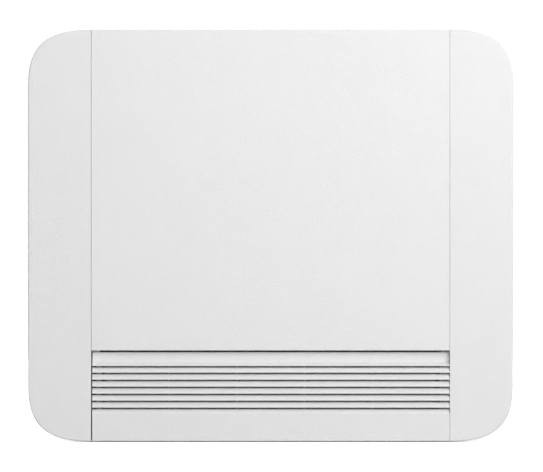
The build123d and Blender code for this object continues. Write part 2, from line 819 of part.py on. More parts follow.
def union_valve(header_offset, across, branch):
    """A valve with its body along Y, its stem above and its threaded end to the wall."""
    seat = coil_plane(-bulkhead_out - header_offset).from_local_coords((across, branch, 0))
    axis = Plane((seat.X, valve_y, seat.Z), x_dir=(1, 0, 0), z_dir=(0, 1, 0))
    with BuildPart() as valve:
        with BuildSketch(axis):
            Circle(valve_radius)
        extrude(amount=valve_length - valve_hex_length)
        with BuildSketch(axis.offset(valve_length - valve_hex_length)):
            RegularPolygon(valve_radius, 6)
        extrude(amount=valve_hex_length)
        stem_y = valve_y + (valve_length - valve_hex_length) / 2
        with BuildSketch(Plane.XY.offset(seat.Z)):
            with Locations((seat.X, stem_y)):
                Circle(stem_radius)
        extrude(amount=stem_length)
        with BuildSketch(axis.offset(valve_length - connection_bore_depth)):
            Circle(connection_bore)
        extrude(amount=connection_bore_depth, mode=Mode.SUBTRACT)
    return valve


def valve_cap(header_offset, across, branch):
    """The hand cap on a valve's stem."""
    seat = coil_plane(-bulkhead_out - header_offset).from_local_coords((across, branch, 0))
    with BuildPart() as cap:
        with BuildSketch(Plane.XY.offset(seat.Z + stem_length)):
            with Locations((seat.X, valve_y + (valve_length - valve_hex_length) / 2)):
                Circle(cap_radius)
        extrude(amount=cap_length)
        fillet(faces().sort_by(Axis.Z)[-1].edges(), cap_edge_radius)
    return cap


supply_valve = union_valve(supply_offset, row_pitch / 2, supply_branch)
supply_valve.part.label = "supply_valve"
export_step(supply_valve.part, "parts/supply_valve.step")
return_valve = union_valve(return_offset, -row_pitch / 2, return_branch)
return_valve.part.label = "return_valve"
export_step(return_valve.part, "parts/return_valve.step")
supply_valve_cap = valve_cap(supply_offset, row_pitch / 2, supply_branch)
supply_valve_cap.part.label = "supply_valve_cap"
export_step(supply_valve_cap.part, "parts/supply_valve_cap.step")
return_valve_cap = valve_cap(return_offset, -row_pitch / 2, return_branch)
return_valve_cap.part.label = "return_valve_cap"
export_step(return_valve_cap.part, "parts/return_valve_cap.step")


# Condensate trays: the long one under the coil and a short one under the valves
with BuildPart() as drip_tray:
    with BuildSketch(Plane.XY.offset(tray_bottom)):
        with Locations((-bulkhead_in, duct_y)):
            Rectangle(2 * bulkhead_in, tray_depth, align=Align.MIN)
    extrude(amount=tray_height)
    with BuildSketch(Plane.XY.offset(tray_bottom + tray_wall)):
        with Locations((-bulkhead_in + tray_wall, duct_y + tray_wall)):
            Rectangle(
                2 * (bulkhead_in - tray_wall), tray_depth - 2 * tray_wall, align=Align.MIN
            )
    extrude(amount=tray_height, mode=Mode.SUBTRACT)
    with BuildSketch(section_plane(-bulkhead_in)):
        with Locations((spout_y, spout_z)):
            Circle(spout_radius)
    extrude(amount=-spout_length)
    with BuildSketch(section_plane(-bulkhead_in + tray_wall)):
        with Locations((spout_y, spout_z)):
            Circle(spout_bore)
    extrude(amount=-spout_length - tray_wall, mode=Mode.SUBTRACT)
drip_tray.part.label = "drip_tray"
export_step(drip_tray.part, "parts/drip_tray.step")

valve_tray_front = duct_y + valve_tray_front_gap
valve_tray_back = back_y - valve_tray_rear_gap
valve_tray_top = tray_bottom - valve_tray_drop
valve_tray_bottom = valve_tray_top - valve_tray_height
spigot_x = -bulkhead_out - valve_tray_width / 2
with BuildPart() as valve_tray:
    with BuildSketch(Plane.XY.offset(valve_tray_bottom)):
        with Locations((-bulkhead_out, valve_tray_front)):
            Rectangle(
                valve_tray_width,
                valve_tray_back - valve_tray_front,
                align=(Align.MAX, Align.MIN),
            )
    extrude(amount=valve_tray_height)
    with BuildSketch(Plane.XY.offset(valve_tray_bottom + tray_wall)):
        with Locations((-bulkhead_out - tray_wall, valve_tray_front + tray_wall)):
            Rectangle(
                valve_tray_width - 2 * tray_wall,
                valve_tray_back - valve_tray_front - 2 * tray_wall,
                align=(Align.MAX, Align.MIN),
            )
    extrude(amount=valve_tray_height, mode=Mode.SUBTRACT)
    with BuildSketch(Plane.XZ.offset(-valve_tray_back)):
        with Locations((spigot_x, valve_tray_bottom + spigot_radius)):
            Circle(spigot_radius)
    extrude(amount=-spigot_length)
    with BuildSketch(Plane.XZ.offset(-valve_tray_back + tray_wall)):
        with Locations((spigot_x, valve_tray_bottom + spigot_radius)):
            Circle(spigot_bore)
    extrude(amount=-spigot_length - tray_wall, mode=Mode.SUBTRACT)
valve_tray.part.label = "valve_tray"
export_step(valve_tray.part, "parts/valve_tray.step")


# Duct: the front sheet over the tray, and a foam lining on it and on the back plate
rail_bottom = rail_top - rail_drop
with BuildPart() as duct_front:
    with BuildSketch(front_plane(flange_depth)):
        with Locations((0, tray_bottom)):
            Rectangle(
                2 * bulkhead_in, rail_bottom - tray_bottom, align=(Align.CENTER, Align.MIN)
            )
    extrude(amount=-chassis_sheet)
duct_front.part.label = "duct_front"
export_step(duct_front.part, "parts/duct_front.step")

with BuildPart() as duct_front_lining:
    with BuildSketch(Plane.XZ.offset(-duct_y)):
        with Locations((0, tray_top + fit_gap)):
            Rectangle(
                2 * (bulkhead_in - fit_gap),
                rail_bottom - tray_top - fit_gap,
                align=(Align.CENTER, Align.MIN),
            )
    extrude(amount=-lining_thickness)
duct_front_lining.part.label = "duct_front_lining"
export_step(duct_front_lining.part, "parts/duct_front_lining.step")

with BuildPart() as duct_rear_lining:
    with BuildSketch(Plane.XZ.offset(-plate_y)):
        with Locations((0, scroll_top + fit_gap)):
            Rectangle(
                2 * (bulkhead_in - fit_gap),
                chassis_top - scroll_top - 2 * fit_gap,
                align=(Align.CENTER, Align.MIN),
            )
    extrude(amount=lining_thickness)
duct_rear_lining.part.label = "duct_rear_lining"
export_step(duct_rear_lining.part, "parts/duct_rear_lining.step")


# Control box in the right compartment, with its lid and cable gland
box_lid_x = bulkhead_out + box_width
box_back = back_y - box_rear_gap
box_front = box_back - box_depth
box_bottom = fan_z + motor_plate_size / 2 + box_motor_gap
gland_x = bulkhead_out + box_width / 2
gland_z = box_bottom + gland_height
with BuildPart() as control_box:
    with BuildSketch(section_plane(bulkhead_out)):
        with Locations((box_front, box_bottom)):
            Rectangle(box_depth, box_height, align=Align.MIN)
    extrude(amount=box_width)
    with BuildSketch(section_plane(bulkhead_out + box_wall)):
        with Locations((box_front + box_wall, box_bottom + box_wall)):
            Rectangle(box_depth - 2 * box_wall, box_height - 2 * box_wall, align=Align.MIN)
    extrude(amount=box_width, mode=Mode.SUBTRACT)
    with BuildSketch(Plane.XZ.offset(-box_back)):
        with Locations((gland_x, gland_z)):
            Circle(gland_bore)
    extrude(amount=box_wall, mode=Mode.SUBTRACT)
control_box.part.label = "control_box"
export_step(control_box.part, "parts/control_box.step")

with BuildPart() as control_box_lid:
    with BuildSketch(section_plane(box_lid_x)):
        with Locations((box_front, box_bottom)):
            Rectangle(box_depth, box_height, align=Align.MIN)
    extrude(amount=box_lid_thickness)
    fillet(faces().sort_by(Axis.X)[-1].edges(), box_lid_radius)
control_box_lid.part.label = "control_box_lid"
export_step(control_box_lid.part, "parts/control_box_lid.step")

with BuildPart() as cable_gland:
    with BuildSketch(Plane.XZ.offset(-box_back)):
        with Locations((gland_x, gland_z)):
            RegularPolygon(gland_radius, 6)
    extrude(amount=-gland_length / 2)
    with BuildSketch(Plane.XZ.offset(-box_back - gland_length / 2)):
        with Locations((gland_x, gland_z)):
            Circle(gland_radius - gland_step)
    extrude(amount=-gland_length / 2)
    with BuildSketch(Plane.XZ.offset(-box_back)):
        with Locations((gland_x, gland_z)):
            Circle(gland_bore)
    extrude(amount=-gland_length, mode=Mode.SUBTRACT)
cable_gland.part.label = "cable_gland"
export_step(cable_gland.part, "parts/cable_gland.step")
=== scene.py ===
"""Looks of the floor standing fan coil unit: its finishes, its fine work and a plain studio.

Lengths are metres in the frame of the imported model: X to the right as seen from the room, Y to the
wall and Z up, with the origin in the middle of the footprint, on the floor.
"""

import logging
from collections.abc import Callable, Iterable, Iterator, Mapping, Sequence
from contextlib import contextmanager
from dataclasses import dataclass
from enum import Enum, StrEnum
from functools import cache
from math import atan2, cos, degrees, pi, radians, sin

import bmesh
import bpy
from mathutils import Matrix, Vector


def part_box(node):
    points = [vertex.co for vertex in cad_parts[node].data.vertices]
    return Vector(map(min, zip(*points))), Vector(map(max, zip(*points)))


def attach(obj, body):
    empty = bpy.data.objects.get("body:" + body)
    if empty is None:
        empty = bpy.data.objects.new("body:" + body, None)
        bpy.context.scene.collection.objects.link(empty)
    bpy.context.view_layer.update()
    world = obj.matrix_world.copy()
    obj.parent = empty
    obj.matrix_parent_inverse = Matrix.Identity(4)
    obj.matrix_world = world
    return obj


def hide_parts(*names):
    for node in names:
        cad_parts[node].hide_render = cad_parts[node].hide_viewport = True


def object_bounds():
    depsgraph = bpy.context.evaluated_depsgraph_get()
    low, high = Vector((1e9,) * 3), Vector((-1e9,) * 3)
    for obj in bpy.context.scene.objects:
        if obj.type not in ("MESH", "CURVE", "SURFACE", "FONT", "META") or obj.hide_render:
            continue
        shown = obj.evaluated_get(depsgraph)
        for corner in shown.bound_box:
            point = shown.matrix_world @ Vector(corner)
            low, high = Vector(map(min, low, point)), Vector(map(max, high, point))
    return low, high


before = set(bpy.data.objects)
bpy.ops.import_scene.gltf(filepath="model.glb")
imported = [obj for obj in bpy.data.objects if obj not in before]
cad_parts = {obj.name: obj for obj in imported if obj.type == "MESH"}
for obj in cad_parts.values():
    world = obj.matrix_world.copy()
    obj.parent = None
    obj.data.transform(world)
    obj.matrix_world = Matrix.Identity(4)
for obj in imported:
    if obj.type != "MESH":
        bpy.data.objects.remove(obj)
cad_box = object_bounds()

log = logging.getLogger("fan_coil_unit")

Triple = Colour = tuple[float, float, float]
Ramp = tuple[float, float, float, float]
Profile = Sequence[tuple[float, float]]
Seat = tuple[Vector, Vector]
Piece = bpy.types.Object
Socket = bpy.types.NodeSocket

MM = 0.001
MERGE_DISTANCE = 0.002 * MM
FLAT_ANGLE = radians(0.2)
SHARP_ANGLE = radians(40)
CREASE_ANGLE = radians(32)
FACING = 0.9

LEFT, RIGHT = Vector((-1, 0, 0)), Vector((1, 0, 0))
TO_WALL, UP = Vector((0, 1, 0)), Vector((0, 0, 1))
DARK, LIGHT = (0.0, 0.0, 0.0), (1.0, 1.0, 1.0)
DUST = (0.42, 0.4, 0.37)


class Slot(Enum):
    """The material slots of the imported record."""

    COVER = "white_cover"
    STEEL = "white_steel"
    ZINC = "galvanised_steel"
    FIN = "fin_aluminium"
    WHEEL = "wheel_aluminium"
    COPPER = "copper"
    BRASS = "brass"
    BLACK = "black_plastic"
    FILTER = "filter_grey"
    NET = "filter_net"
    FOAM = "foam"
    MOTOR = "motor_paint"
    BOX = "box_grey"


class Kind(Enum):
    """The socket types that the shared effects use."""

    NUMBER = "NodeSocketFloat"
    VECTOR = "NodeSocketVector"
    COLOUR = "NodeSocketColor"


class Pick(StrEnum):
    """What edit mode selects."""

    POINTS = "VERT"
    FACES = "FACE"


class Line(StrEnum):
    """The water lines, by the names that their nodes start with."""

    SUPPLY = "supply"
    RETURN = "return"


# Node trees


def opaque(colour: Iterable[float]) -> tuple[float, ...]:
    """Adds an alpha of 1 to a colour."""
    return (*colour, 1.0)


class Graph:
    """Fills a node tree, with values and links given by the names or numbers of a node's inputs."""

    def __init__(self, tree: bpy.types.NodeTree) -> None:
        """Takes the tree to fill."""
        self.tree = tree

    def find(self, kind: str) -> bpy.types.Node:
        """Gives the tree's first node of a type."""
        return next(node for node in self.tree.nodes if node.type == kind)

    def feed(self, node: bpy.types.Node, inputs: Mapping[str | int, object]) -> None:
        """Sets and links a node's inputs.

        Args:
            node: the node.
            inputs: a value, or a socket to link, for each input by name or number.
        """
        for key, value in inputs.items():
            if isinstance(value, Socket):
                self.tree.links.new(value, node.inputs[key])
            else:
                node.inputs[key].default_value = value

    def add(
        self, kind: str, inputs: Mapping[str | int, object] | None = None, **settings: object
    ) -> bpy.types.Node:
        """Adds one node.

        Args:
            kind: the node's type.
            inputs: a value, or a socket to link, for each input by name or number.
            settings: the node's own options.

        Returns:
            The new node.
        """
        node = self.tree.nodes.new(kind)
        for option, value in settings.items():
            setattr(node, option, value)
        self.feed(node, inputs or {})
        return node

    def math(self, operation: str, first: object, second: object = 0.0, clamp: bool = False) -> Socket:
        """Adds a Math node.

        Args:
            operation: the sum to do.
            first: the first value or socket.
            second: the second value or socket.
            clamp: whether the result stays between 0 and 1.

        Returns:
            The result's socket.
        """
        node = self.add("ShaderNodeMath", {0: first, 1: second}, operation=operation, use_clamp=clamp)
        return node.outputs[0]

    def span(self, value: object, low: float, high: float, start: float = 0, end: float = 1) -> Socket:
        """Adds a Map Range node.

        Args:
            value: the value or socket to map.
            low: the value that gives start.
            high: the value that gives end.
            start: the result at low.
            end: the result at high.

        Returns:
            The result's socket.
        """
        inputs = {"Value": value, "From Min": low, "From Max": high, "To Min": start, "To Max": end}
        return self.add("ShaderNodeMapRange", inputs).outputs["Result"]

    def blend(self, factor: object, first: object, second: object) -> Socket:
        """Adds a colour mix.

        Args:
            factor: how much of the second colour shows.
            first: the colour or socket at 0.
            second: the colour or socket at 1.

        Returns:
            The result's socket.
        """
        mix = self.add("ShaderNodeMix", {0: factor, 6: first, 7: second}, data_type="RGBA")
        return mix.outputs[2]

    def noise(self, where: Socket, scale: object, detail: float = 2, rough: float = 0.5) -> Socket:
        """Adds a noise texture.

        Args:
            where: the coordinates.
            scale: cells for each metre.
            detail: how many finer layers it has.
            rough: how strong the finer layers are.

        Returns:
            The noise's value.
        """
        inputs = {"Vector": where, "Scale": scale, "Detail": detail, "Roughness": rough}
        return self.add("ShaderNodeTexNoise", inputs).outputs[0]

    def vector(self, operation: str, first: object, second: object) -> Socket:
        """Adds a Vector Math node.

        Args:
            operation: the sum to do.
            first: the first vector or socket.
            second: the second vector or socket.

        Returns:
            The resulting vector.
        """
        return self.add("ShaderNodeVectorMath", {0: first, 1: second}, operation=operation).outputs[0]

    def bump(self, height: Socket, depth: float) -> Socket:
        """Adds a bump.

        Args:
            height: the height's socket.
            depth: how deep a height of 1 is.

        Returns:
            The bent normal.
        """
        return self.add("ShaderNodeBump", {"Height": height, "Distance": depth}).outputs[0]

    def effect(self, group: bpy.types.NodeTree, inputs: Mapping[str, object]) -> Socket:
        """Places a shared effect with its own values.

        Args:
            group: the effect.
            inputs: its values or sockets.

        Returns:
            The effect's output.
        """
        return self.add("ShaderNodeGroup", inputs, node_tree=group).outputs[0]


def new_effect(
    name: str, inputs: Mapping[str, Kind], outputs: Mapping[str, Kind]
) -> tuple[Graph, Mapping[str, Socket], bpy.types.Node]:
    """Starts a shared effect with named sockets.

    Args:
        name: the effect's name.
        inputs: each input's type by name.
        outputs: each output's type by name.

    Returns:
        The graph to fill, the sockets of its inputs by name, and its output node.
    """
    tree = bpy.data.node_groups.new(name, "ShaderNodeTree")
    for way, sockets in (("INPUT", inputs), ("OUTPUT", outputs)):
        for label, kind in sockets.items():
            tree.interface.new_socket(label, in_out=way, socket_type=kind.value)
    graph = Graph(tree)
    return graph, graph.add("NodeGroupInput").outputs, graph.add("NodeGroupOutput")


@cache
def fine_grain() -> bpy.types.NodeTree:
    """Builds the grain of paint and mouldings: soft cells with a finer noise over them.

    Returns:
        The effect, with Vector and Scale in and Height out.
    """
    inputs = {"Vector": Kind.VECTOR, "Scale": Kind.NUMBER}
    graph, given, result = new_effect("fine_grain", inputs, {"Height": Kind.NUMBER})
    finer, fine_share = 2.6, 0.45
    coarse = graph.noise(given["Vector"], given["Scale"], detail=1)
    fine = graph.noise(given["Vector"], graph.math("MULTIPLY", given["Scale"], finer), detail=2)
    graph.feed(result, {"Height": graph.math("ADD", coarse, graph.math("MULTIPLY", fine, fine_share))})
    return graph.tree


@cache
def tone_drift() -> bpy.types.NodeTree:
    """Builds the slow change of tone over a surface.

    Returns:
        The effect, with Vector, Scale, Amount and Colour in and Colour out.
    """
    inputs = {"Vector": Kind.VECTOR, "Scale": Kind.NUMBER, "Amount": Kind.NUMBER, "Colour": Kind.COLOUR}
    graph, given, result = new_effect("tone_drift", inputs, {"Colour": Kind.COLOUR})
    cloud = graph.noise(given["Vector"], given["Scale"], detail=3, rough=0.6)
    share = graph.math("MULTIPLY", graph.span(cloud, 0.3, 0.7), given["Amount"])
    graph.feed(result, {"Colour": graph.blend(share, given["Colour"], opaque(DARK))})
    return graph.tree


@cache
def settled_dust() -> bpy.types.NodeTree:
    """Builds the dust that settles on what faces up inside the unit.

    Returns:
        The effect, with Vector, Amount and Colour in and Colour out.
    """
    inputs = {"Vector": Kind.VECTOR, "Amount": Kind.NUMBER, "Colour": Kind.COLOUR}
    graph, given, result = new_effect("settled_dust", inputs, {"Colour": Kind.COLOUR})
    cloud_scale = 38.0
    facing = graph.add("ShaderNodeNewGeometry").outputs["Normal"]
    upward = graph.span(graph.add("ShaderNodeSeparateXYZ", {0: facing}).outputs["Z"], 0.25, 0.95)
    drift = graph.span(graph.noise(given["Vector"], cloud_scale, detail=4, rough=0.65), 0.36, 0.68)
    mask = graph.math("MULTIPLY", graph.math("MULTIPLY", upward, drift), given["Amount"])
    graph.feed(result, {"Colour": graph.blend(mask, given["Colour"], opaque(DUST))})
    return graph.tree


@cache
def drawn_streaks() -> bpy.types.NodeTree:
    """Builds the fine streaks that rolling, drawing or turning leaves on metal.

    Returns:
        The effect, with Vector, Stretch and Scale in and Height out.
    """
    inputs = {"Vector": Kind.VECTOR, "Stretch": Kind.VECTOR, "Scale": Kind.NUMBER}
    graph, given, result = new_effect("drawn_streaks", inputs, {"Height": Kind.NUMBER})
    stretched = graph.vector("MULTIPLY", given["Vector"], given["Stretch"])
    graph.feed(result, {"Height": graph.noise(stretched, given["Scale"], detail=4, rough=0.6)})
    return graph.tree


# Finishes


@dataclass(frozen=True)
class Finish:
    """What every finish has: its slot in the record, its colour, its gloss and its dust."""

    slot: Slot
    name: str
    colour: Colour
    roughness: float
    metallic: float = 0.0
    specular: float = 0.5
    dust: float = 0.0

    def material(self) -> bpy.types.Material:
        """Builds the finish's material at its first use.

        Returns:
            The material.
        """
        known = bpy.data.materials.get(self.name)
        if known:
            return known
        made = bpy.data.materials.new(self.name)
        made.use_nodes = True
        made.diffuse_color = opaque(self.colour)
        graph = Graph(made.node_tree)
        shader = graph.find("BSDF_PRINCIPLED")
        graph.feed(shader, {
            "Base Color": opaque(self.colour),
            "Roughness": self.roughness,
            "Metallic": self.metallic,
            "Specular IOR Level": self.specular,
        })
        self.cover(graph, shader, graph.add("ShaderNodeTexCoord").outputs["Object"])
        return made

    def cover(self, graph: Graph, shader: bpy.types.Node, where: Socket) -> None:
        """Links the finish's pattern to its shader; each finish has its own.

        Args:
            graph: the material's graph.
            shader: its shader.
            where: the coordinates.
        """
        raise NotImplementedError

    def dusted(self, graph: Graph, where: Socket, colour: object) -> Socket:
        """Lays dust on a colour.

        Args:
            graph: the material's graph.
            where: the coordinates.
            colour: the clean colour.

        Returns:
            The dusty colour.
        """
        return graph.effect(settled_dust(), {"Vector": where, "Amount": self.dust, "Colour": colour})


@dataclass(frozen=True)
class GrainedSkin(Finish):
    """Paint, powder coat or a moulded skin: a fine grain with a slow drift of tone."""

    grain: float = 900.0
    depth: float = 0.02 * MM
    drift: float = 0.02
    drift_scale: float = 6.0
    smoother: float = 0.05
    rougher: float = 0.06

    def cover(self, graph: Graph, shader: bpy.types.Node, where: Socket) -> None:
        """Links the grain, the drift and the dust.

        Args:
            graph: the material's graph.
            shader: its shader.
            where: the coordinates.
        """
        inputs = {"Vector": where, "Scale": self.drift_scale, "Amount": self.drift}
        tone = graph.effect(tone_drift(), {**inputs, "Colour": opaque(self.colour)})
        colour = self.dusted(graph, where, tone)
        grain = graph.effect(fine_grain(), {"Vector": where, "Scale": self.grain})
        least, most = self.roughness - self.smoother, self.roughness + self.rougher
        gloss = graph.span(grain, 0.45, 1.0, least, most)
        normal = graph.bump(grain, self.depth)
        graph.feed(shader, {"Base Color": colour, "Roughness": gloss, "Normal": normal})


@dataclass(frozen=True)
class SpangledZinc(Finish):
    """Hot-dip galvanised sheet: crystals that each turn the light their own way."""

    crystal: float = 105.0
    contrast: float = 0.3
    dark_crystal: Colour = (0.33, 0.345, 0.37)
    ripple: float = 70.0
    ripple_reach: Triple = (0.012, 0.012, 0.012)
    patch: float = 7.0
    patch_share: float = 0.35
    patch_colour: Colour = (0.46, 0.47, 0.48)
    patch_roughness: float = 0.1
    rolling: float = 900.0
    rolling_stretch: Triple = (0.06, 1.0, 1.0)
    smoother: float = 0.09
    rougher: float = 0.08
    crystal_relief: float = 0.6
    depth: float = 0.012 * MM

    def cover(self, graph: Graph, shader: bpy.types.Node, where: Socket) -> None:
        """Links the crystals, the rolling marks and the dull patches.

        Args:
            graph: the material's graph.
            shader: its shader.
            where: the coordinates.
        """
        ripple = graph.add("ShaderNodeTexNoise", {"Vector": where, "Scale": self.ripple, "Detail": 2.0})
        spread = graph.vector("MULTIPLY", ripple.outputs[1], self.ripple_reach)
        bent = graph.vector("ADD", where, spread)
        cells = graph.add("ShaderNodeTexVoronoi", {"Vector": bent, "Scale": self.crystal})
        tint = graph.add("ShaderNodeSeparateColor", {0: cells.outputs["Color"]}).outputs
        bright = graph.math("MULTIPLY", tint[0], self.contrast)
        zinc = graph.blend(bright, opaque(self.colour), opaque(self.dark_crystal))
        patches = graph.span(graph.noise(where, self.patch, detail=5, rough=0.62), 0.42, 0.7)
        dulled = graph.math("MULTIPLY", patches, self.patch_share)
        colour = self.dusted(graph, where, graph.blend(dulled, zinc, opaque(self.patch_colour)))
        inputs = {"Vector": where, "Stretch": self.rolling_stretch, "Scale": self.rolling}
        rolled = graph.effect(drawn_streaks(), inputs)
        least, most = self.roughness - self.smoother, self.roughness + self.rougher
        gloss = graph.span(tint[1], 0, 1, least, most)
        dull = graph.math("ADD", gloss, graph.math("MULTIPLY", patches, self.patch_roughness))
        relief = graph.math("ADD", graph.math("MULTIPLY", tint[2], self.crystal_relief), rolled)
        normal = graph.bump(relief, self.depth)
        graph.feed(shader, {"Base Color": colour, "Roughness": dull, "Normal": normal})


@dataclass(frozen=True)
class DrawnMetal(Finish):
    """Copper, brass or aluminium with its tarnish and the streaks of its making."""

    tarnish: Colour = (0.3, 0.15, 0.09)
    tarnish_share: float = 0.5
    tarnish_scale: float = 42.0
    tarnish_roughness: float = 0.25
    stretch: Triple = (0.08, 1.0, 1.0)
    streaks: float = 1600.0
    streak_share: float = 0.12
    smoother: float = 0.04
    rougher: float = 0.05
    depth: float = 0.006 * MM

    def cover(self, graph: Graph, shader: bpy.types.Node, where: Socket) -> None:
        """Links the tarnish and the streaks.

        Args:
            graph: the material's graph.
            shader: its shader.
            where: the coordinates.
        """
        inputs = {"Vector": where, "Stretch": self.stretch, "Scale": self.streaks}
        streak = graph.effect(drawn_streaks(), inputs)
        cloud = graph.noise(where, self.tarnish_scale, detail=5, rough=0.62)
        stain = graph.span(cloud, 0.44, 0.74, 0.0, self.tarnish_share)
        mottled = graph.blend(stain, opaque(self.colour), opaque(self.tarnish))
        streaked = graph.span(streak, 0.35, 0.75, 0, self.streak_share)
        colour = self.dusted(graph, where, graph.blend(streaked, mottled, opaque(self.tarnish)))
        change = graph.span(streak, 0.3, 0.7, -self.smoother, self.rougher)
        tarnished = graph.math("MULTIPLY", stain, self.tarnish_roughness)
        dull = graph.math("ADD", graph.math("ADD", change, self.roughness), tarnished, clamp=True)
        normal = graph.bump(streak, self.depth)
        graph.feed(shader, {"Base Color": colour, "Roughness": dull, "Normal": normal})


@dataclass(frozen=True)
class CellFoam(Finish):
    """Cut face of closed-cell foam."""

    cells: float = 420.0
    shade: float = 0.45
    depth: float = 0.5 * MM

    def cover(self, graph: Graph, shader: bpy.types.Node, where: Socket) -> None:
        """Links the cells, with painted shade that darkens the hollow middle of each.

        Args:
            graph: the material's graph.
            shader: its shader.
            where: the coordinates.
        """
        cell = graph.add("ShaderNodeTexVoronoi", {"Vector": where, "Scale": self.cells})
        # painted shade: each cell darkens towards its hollow middle
        wall = graph.span(cell.outputs["Distance"], 0.1, 0.75)
        painted_pore_shade = opaque(self.shade * part for part in self.colour)
        colour = self.dusted(graph, where, graph.blend(wall, painted_pore_shade, opaque(self.colour)))
        graph.feed(shader, {"Base Color": colour, "Normal": graph.bump(wall, self.depth)})


@dataclass(frozen=True)
class WovenNet(Finish):
    """Net of round threads that cross over and under, open between them."""

    pitch: float = 1.1 * MM
    thread_share: float = 0.5
    thread_flank_shade: Colour = (0.02, 0.02, 0.022)
    depth: float = 0.25 * MM

    def cover(self, graph: Graph, shader: bpy.types.Node, where: Socket) -> None:
        """Links the threads and the openings between them, with painted shade that darkens each thread
        towards its edges.

        Args:
            graph: the material's graph.
            shader: its shader.
            where: the coordinates.
        """
        place = graph.add("ShaderNodeSeparateXYZ", {0: where})
        ridges = []
        for axis in ("X", "Z"):
            turn = graph.math("MULTIPLY", place.outputs[axis], pi / self.pitch)
            ridges.append(graph.math("ABSOLUTE", graph.math("COSINE", turn)))
        thread = graph.math("MAXIMUM", *ridges)
        edge = 1 - self.thread_share
        solid = graph.math("GREATER_THAN", thread, edge)
        # painted shade: each round thread darkens towards its edges
        shade = graph.span(thread, edge, 1)
        colour = graph.blend(shade, opaque(self.thread_flank_shade), opaque(self.colour))
        normal = graph.bump(thread, self.depth)
        graph.feed(shader, {"Base Color": colour, "Alpha": solid, "Normal": normal})


WHITE = (0.825, 0.824, 0.823)
moulded_white = GrainedSkin(
    Slot.COVER, "moulded_white", WHITE, 0.46, specular=0.42, grain=780.0, depth=0.5 * MM, drift=0.012
)
coated_white = GrainedSkin(
    Slot.STEEL, "powder_coated_white", WHITE, 0.5, specular=0.4, grain=700.0, depth=0.42 * MM, drift=0.014
)
galvanised = SpangledZinc(Slot.ZINC, "spangled_zinc", (0.63, 0.64, 0.66), 0.42, 0.92, dust=0.12)
zinc_screw = DrawnMetal(
    Slot.ZINC, "plated_screw", (0.66, 0.66, 0.64), 0.3, 1.0,
    tarnish=(0.42, 0.41, 0.37), tarnish_share=0.4, stretch=(1.0, 1.0, 1.0),
)
bare_fin = DrawnMetal(
    Slot.FIN, "bare_fin", (0.8, 0.81, 0.83), 0.34, 1.0, dust=0.1,
    tarnish=(0.55, 0.56, 0.58), tarnish_share=0.3, stretch=(1.0, 0.2, 1.0),
)
wheel_metal = DrawnMetal(
    Slot.WHEEL, "wheel_metal", (0.72, 0.73, 0.75), 0.38, 1.0, dust=0.2,
    tarnish=(0.45, 0.46, 0.48), tarnish_share=0.35,
)
drawn_copper = DrawnMetal(Slot.COPPER, "drawn_copper", (0.83, 0.46, 0.3), 0.27, 1.0, dust=0.05)
brazing = DrawnMetal(
    Slot.COPPER, "brazed_joint", (0.66, 0.5, 0.33), 0.36, 1.0,
    tarnish=(0.16, 0.1, 0.07), tarnish_share=0.85, stretch=(1.0, 1.0, 1.0),
)
machined_brass = DrawnMetal(
    Slot.BRASS, "machined_brass", (0.8, 0.62, 0.32), 0.26, 1.0, dust=0.04,
    tarnish=(0.42, 0.29, 0.13), tarnish_share=0.4, stretch=(1.0, 0.15, 1.0),
)
moulded_black = GrainedSkin(
    Slot.BLACK, "moulded_black", (0.022, 0.022, 0.024), 0.42, dust=0.1, grain=1400.0, drift=0.1
)
filter_plastic = GrainedSkin(
    Slot.FILTER, "filter_plastic", (0.5, 0.5, 0.51), 0.5, dust=0.1, grain=1200.0, drift=0.08
)
filter_net = WovenNet(Slot.NET, "woven_net", (0.5, 0.5, 0.51), 0.6)
lining_foam = CellFoam(Slot.FOAM, "lining_foam", (0.075, 0.075, 0.078), 0.92, dust=0.1)
motor_enamel = GrainedSkin(
    Slot.MOTOR, "motor_enamel", (0.06, 0.062, 0.066), 0.36, dust=0.14, grain=700.0, depth=0.03 * MM
)
box_plastic = GrainedSkin(
    Slot.BOX, "box_plastic", (0.66, 0.67, 0.675), 0.44, dust=0.08, grain=1300.0, depth=0.03 * MM
)


# Bench work


def alone(piece: Piece) -> None:
    """Makes a piece active and the only one selected.

    Args:
        piece: the piece.
    """
    bpy.ops.object.select_all(action="DESELECT")
    piece.select_set(True)
    bpy.context.view_layer.objects.active = piece


@contextmanager
def editing(piece: Piece, mode: Pick = Pick.FACES) -> Iterator[None]:
    """Holds a piece in edit mode, alone and with nothing of it selected.

    Args:
        piece: the piece to edit.
        mode: what can be selected.

    Yields:
        Nothing, while the piece is in edit mode.
    """
    alone(piece)
    bpy.ops.object.mode_set(mode="EDIT")
    bpy.ops.mesh.select_mode(type=mode.value)
    bpy.ops.mesh.select_all(action="DESELECT")
    yield
    bpy.ops.object.mode_set(mode="OBJECT")


def pick_faces(piece: Piece, test: Callable[[Vector, Vector], bool]) -> None:
    """Selects the faces whose centre and normal pass a test.

    Args:
        piece: the piece in edit mode.
        test: takes a centre and a normal.
    """
    mesh = bmesh.from_edit_mesh(piece.data)
    for face in mesh.faces:
        face.select_set(test(face.calc_center_median(), face.normal))
    bmesh.update_edit_mesh(piece.data)


def pick_points(piece: Piece, test: Callable[[Vector], bool]) -> None:
    """Selects the points that pass a test.

    Args:
        piece: the piece in edit mode.
        test: takes a point.
    """
    mesh = bmesh.from_edit_mesh(piece.data)
    for point in mesh.verts:
        point.select_set(test(point.co))
    mesh.select_flush(True)
    bmesh.update_edit_mesh(piece.data)


def modify(piece: Piece, kind: str, **settings: object) -> None:
    """Adds a modifier and applies it.

    Args:
        piece: the piece to change.
        kind: the modifier's type.
        settings: its options.
    """
    alone(piece)
    modifier = piece.modifiers.new(kind.lower(), kind)
    for option, value in settings.items():
        setattr(modifier, option, value)
    bpy.ops.object.modifier_apply(modifier=modifier.name)


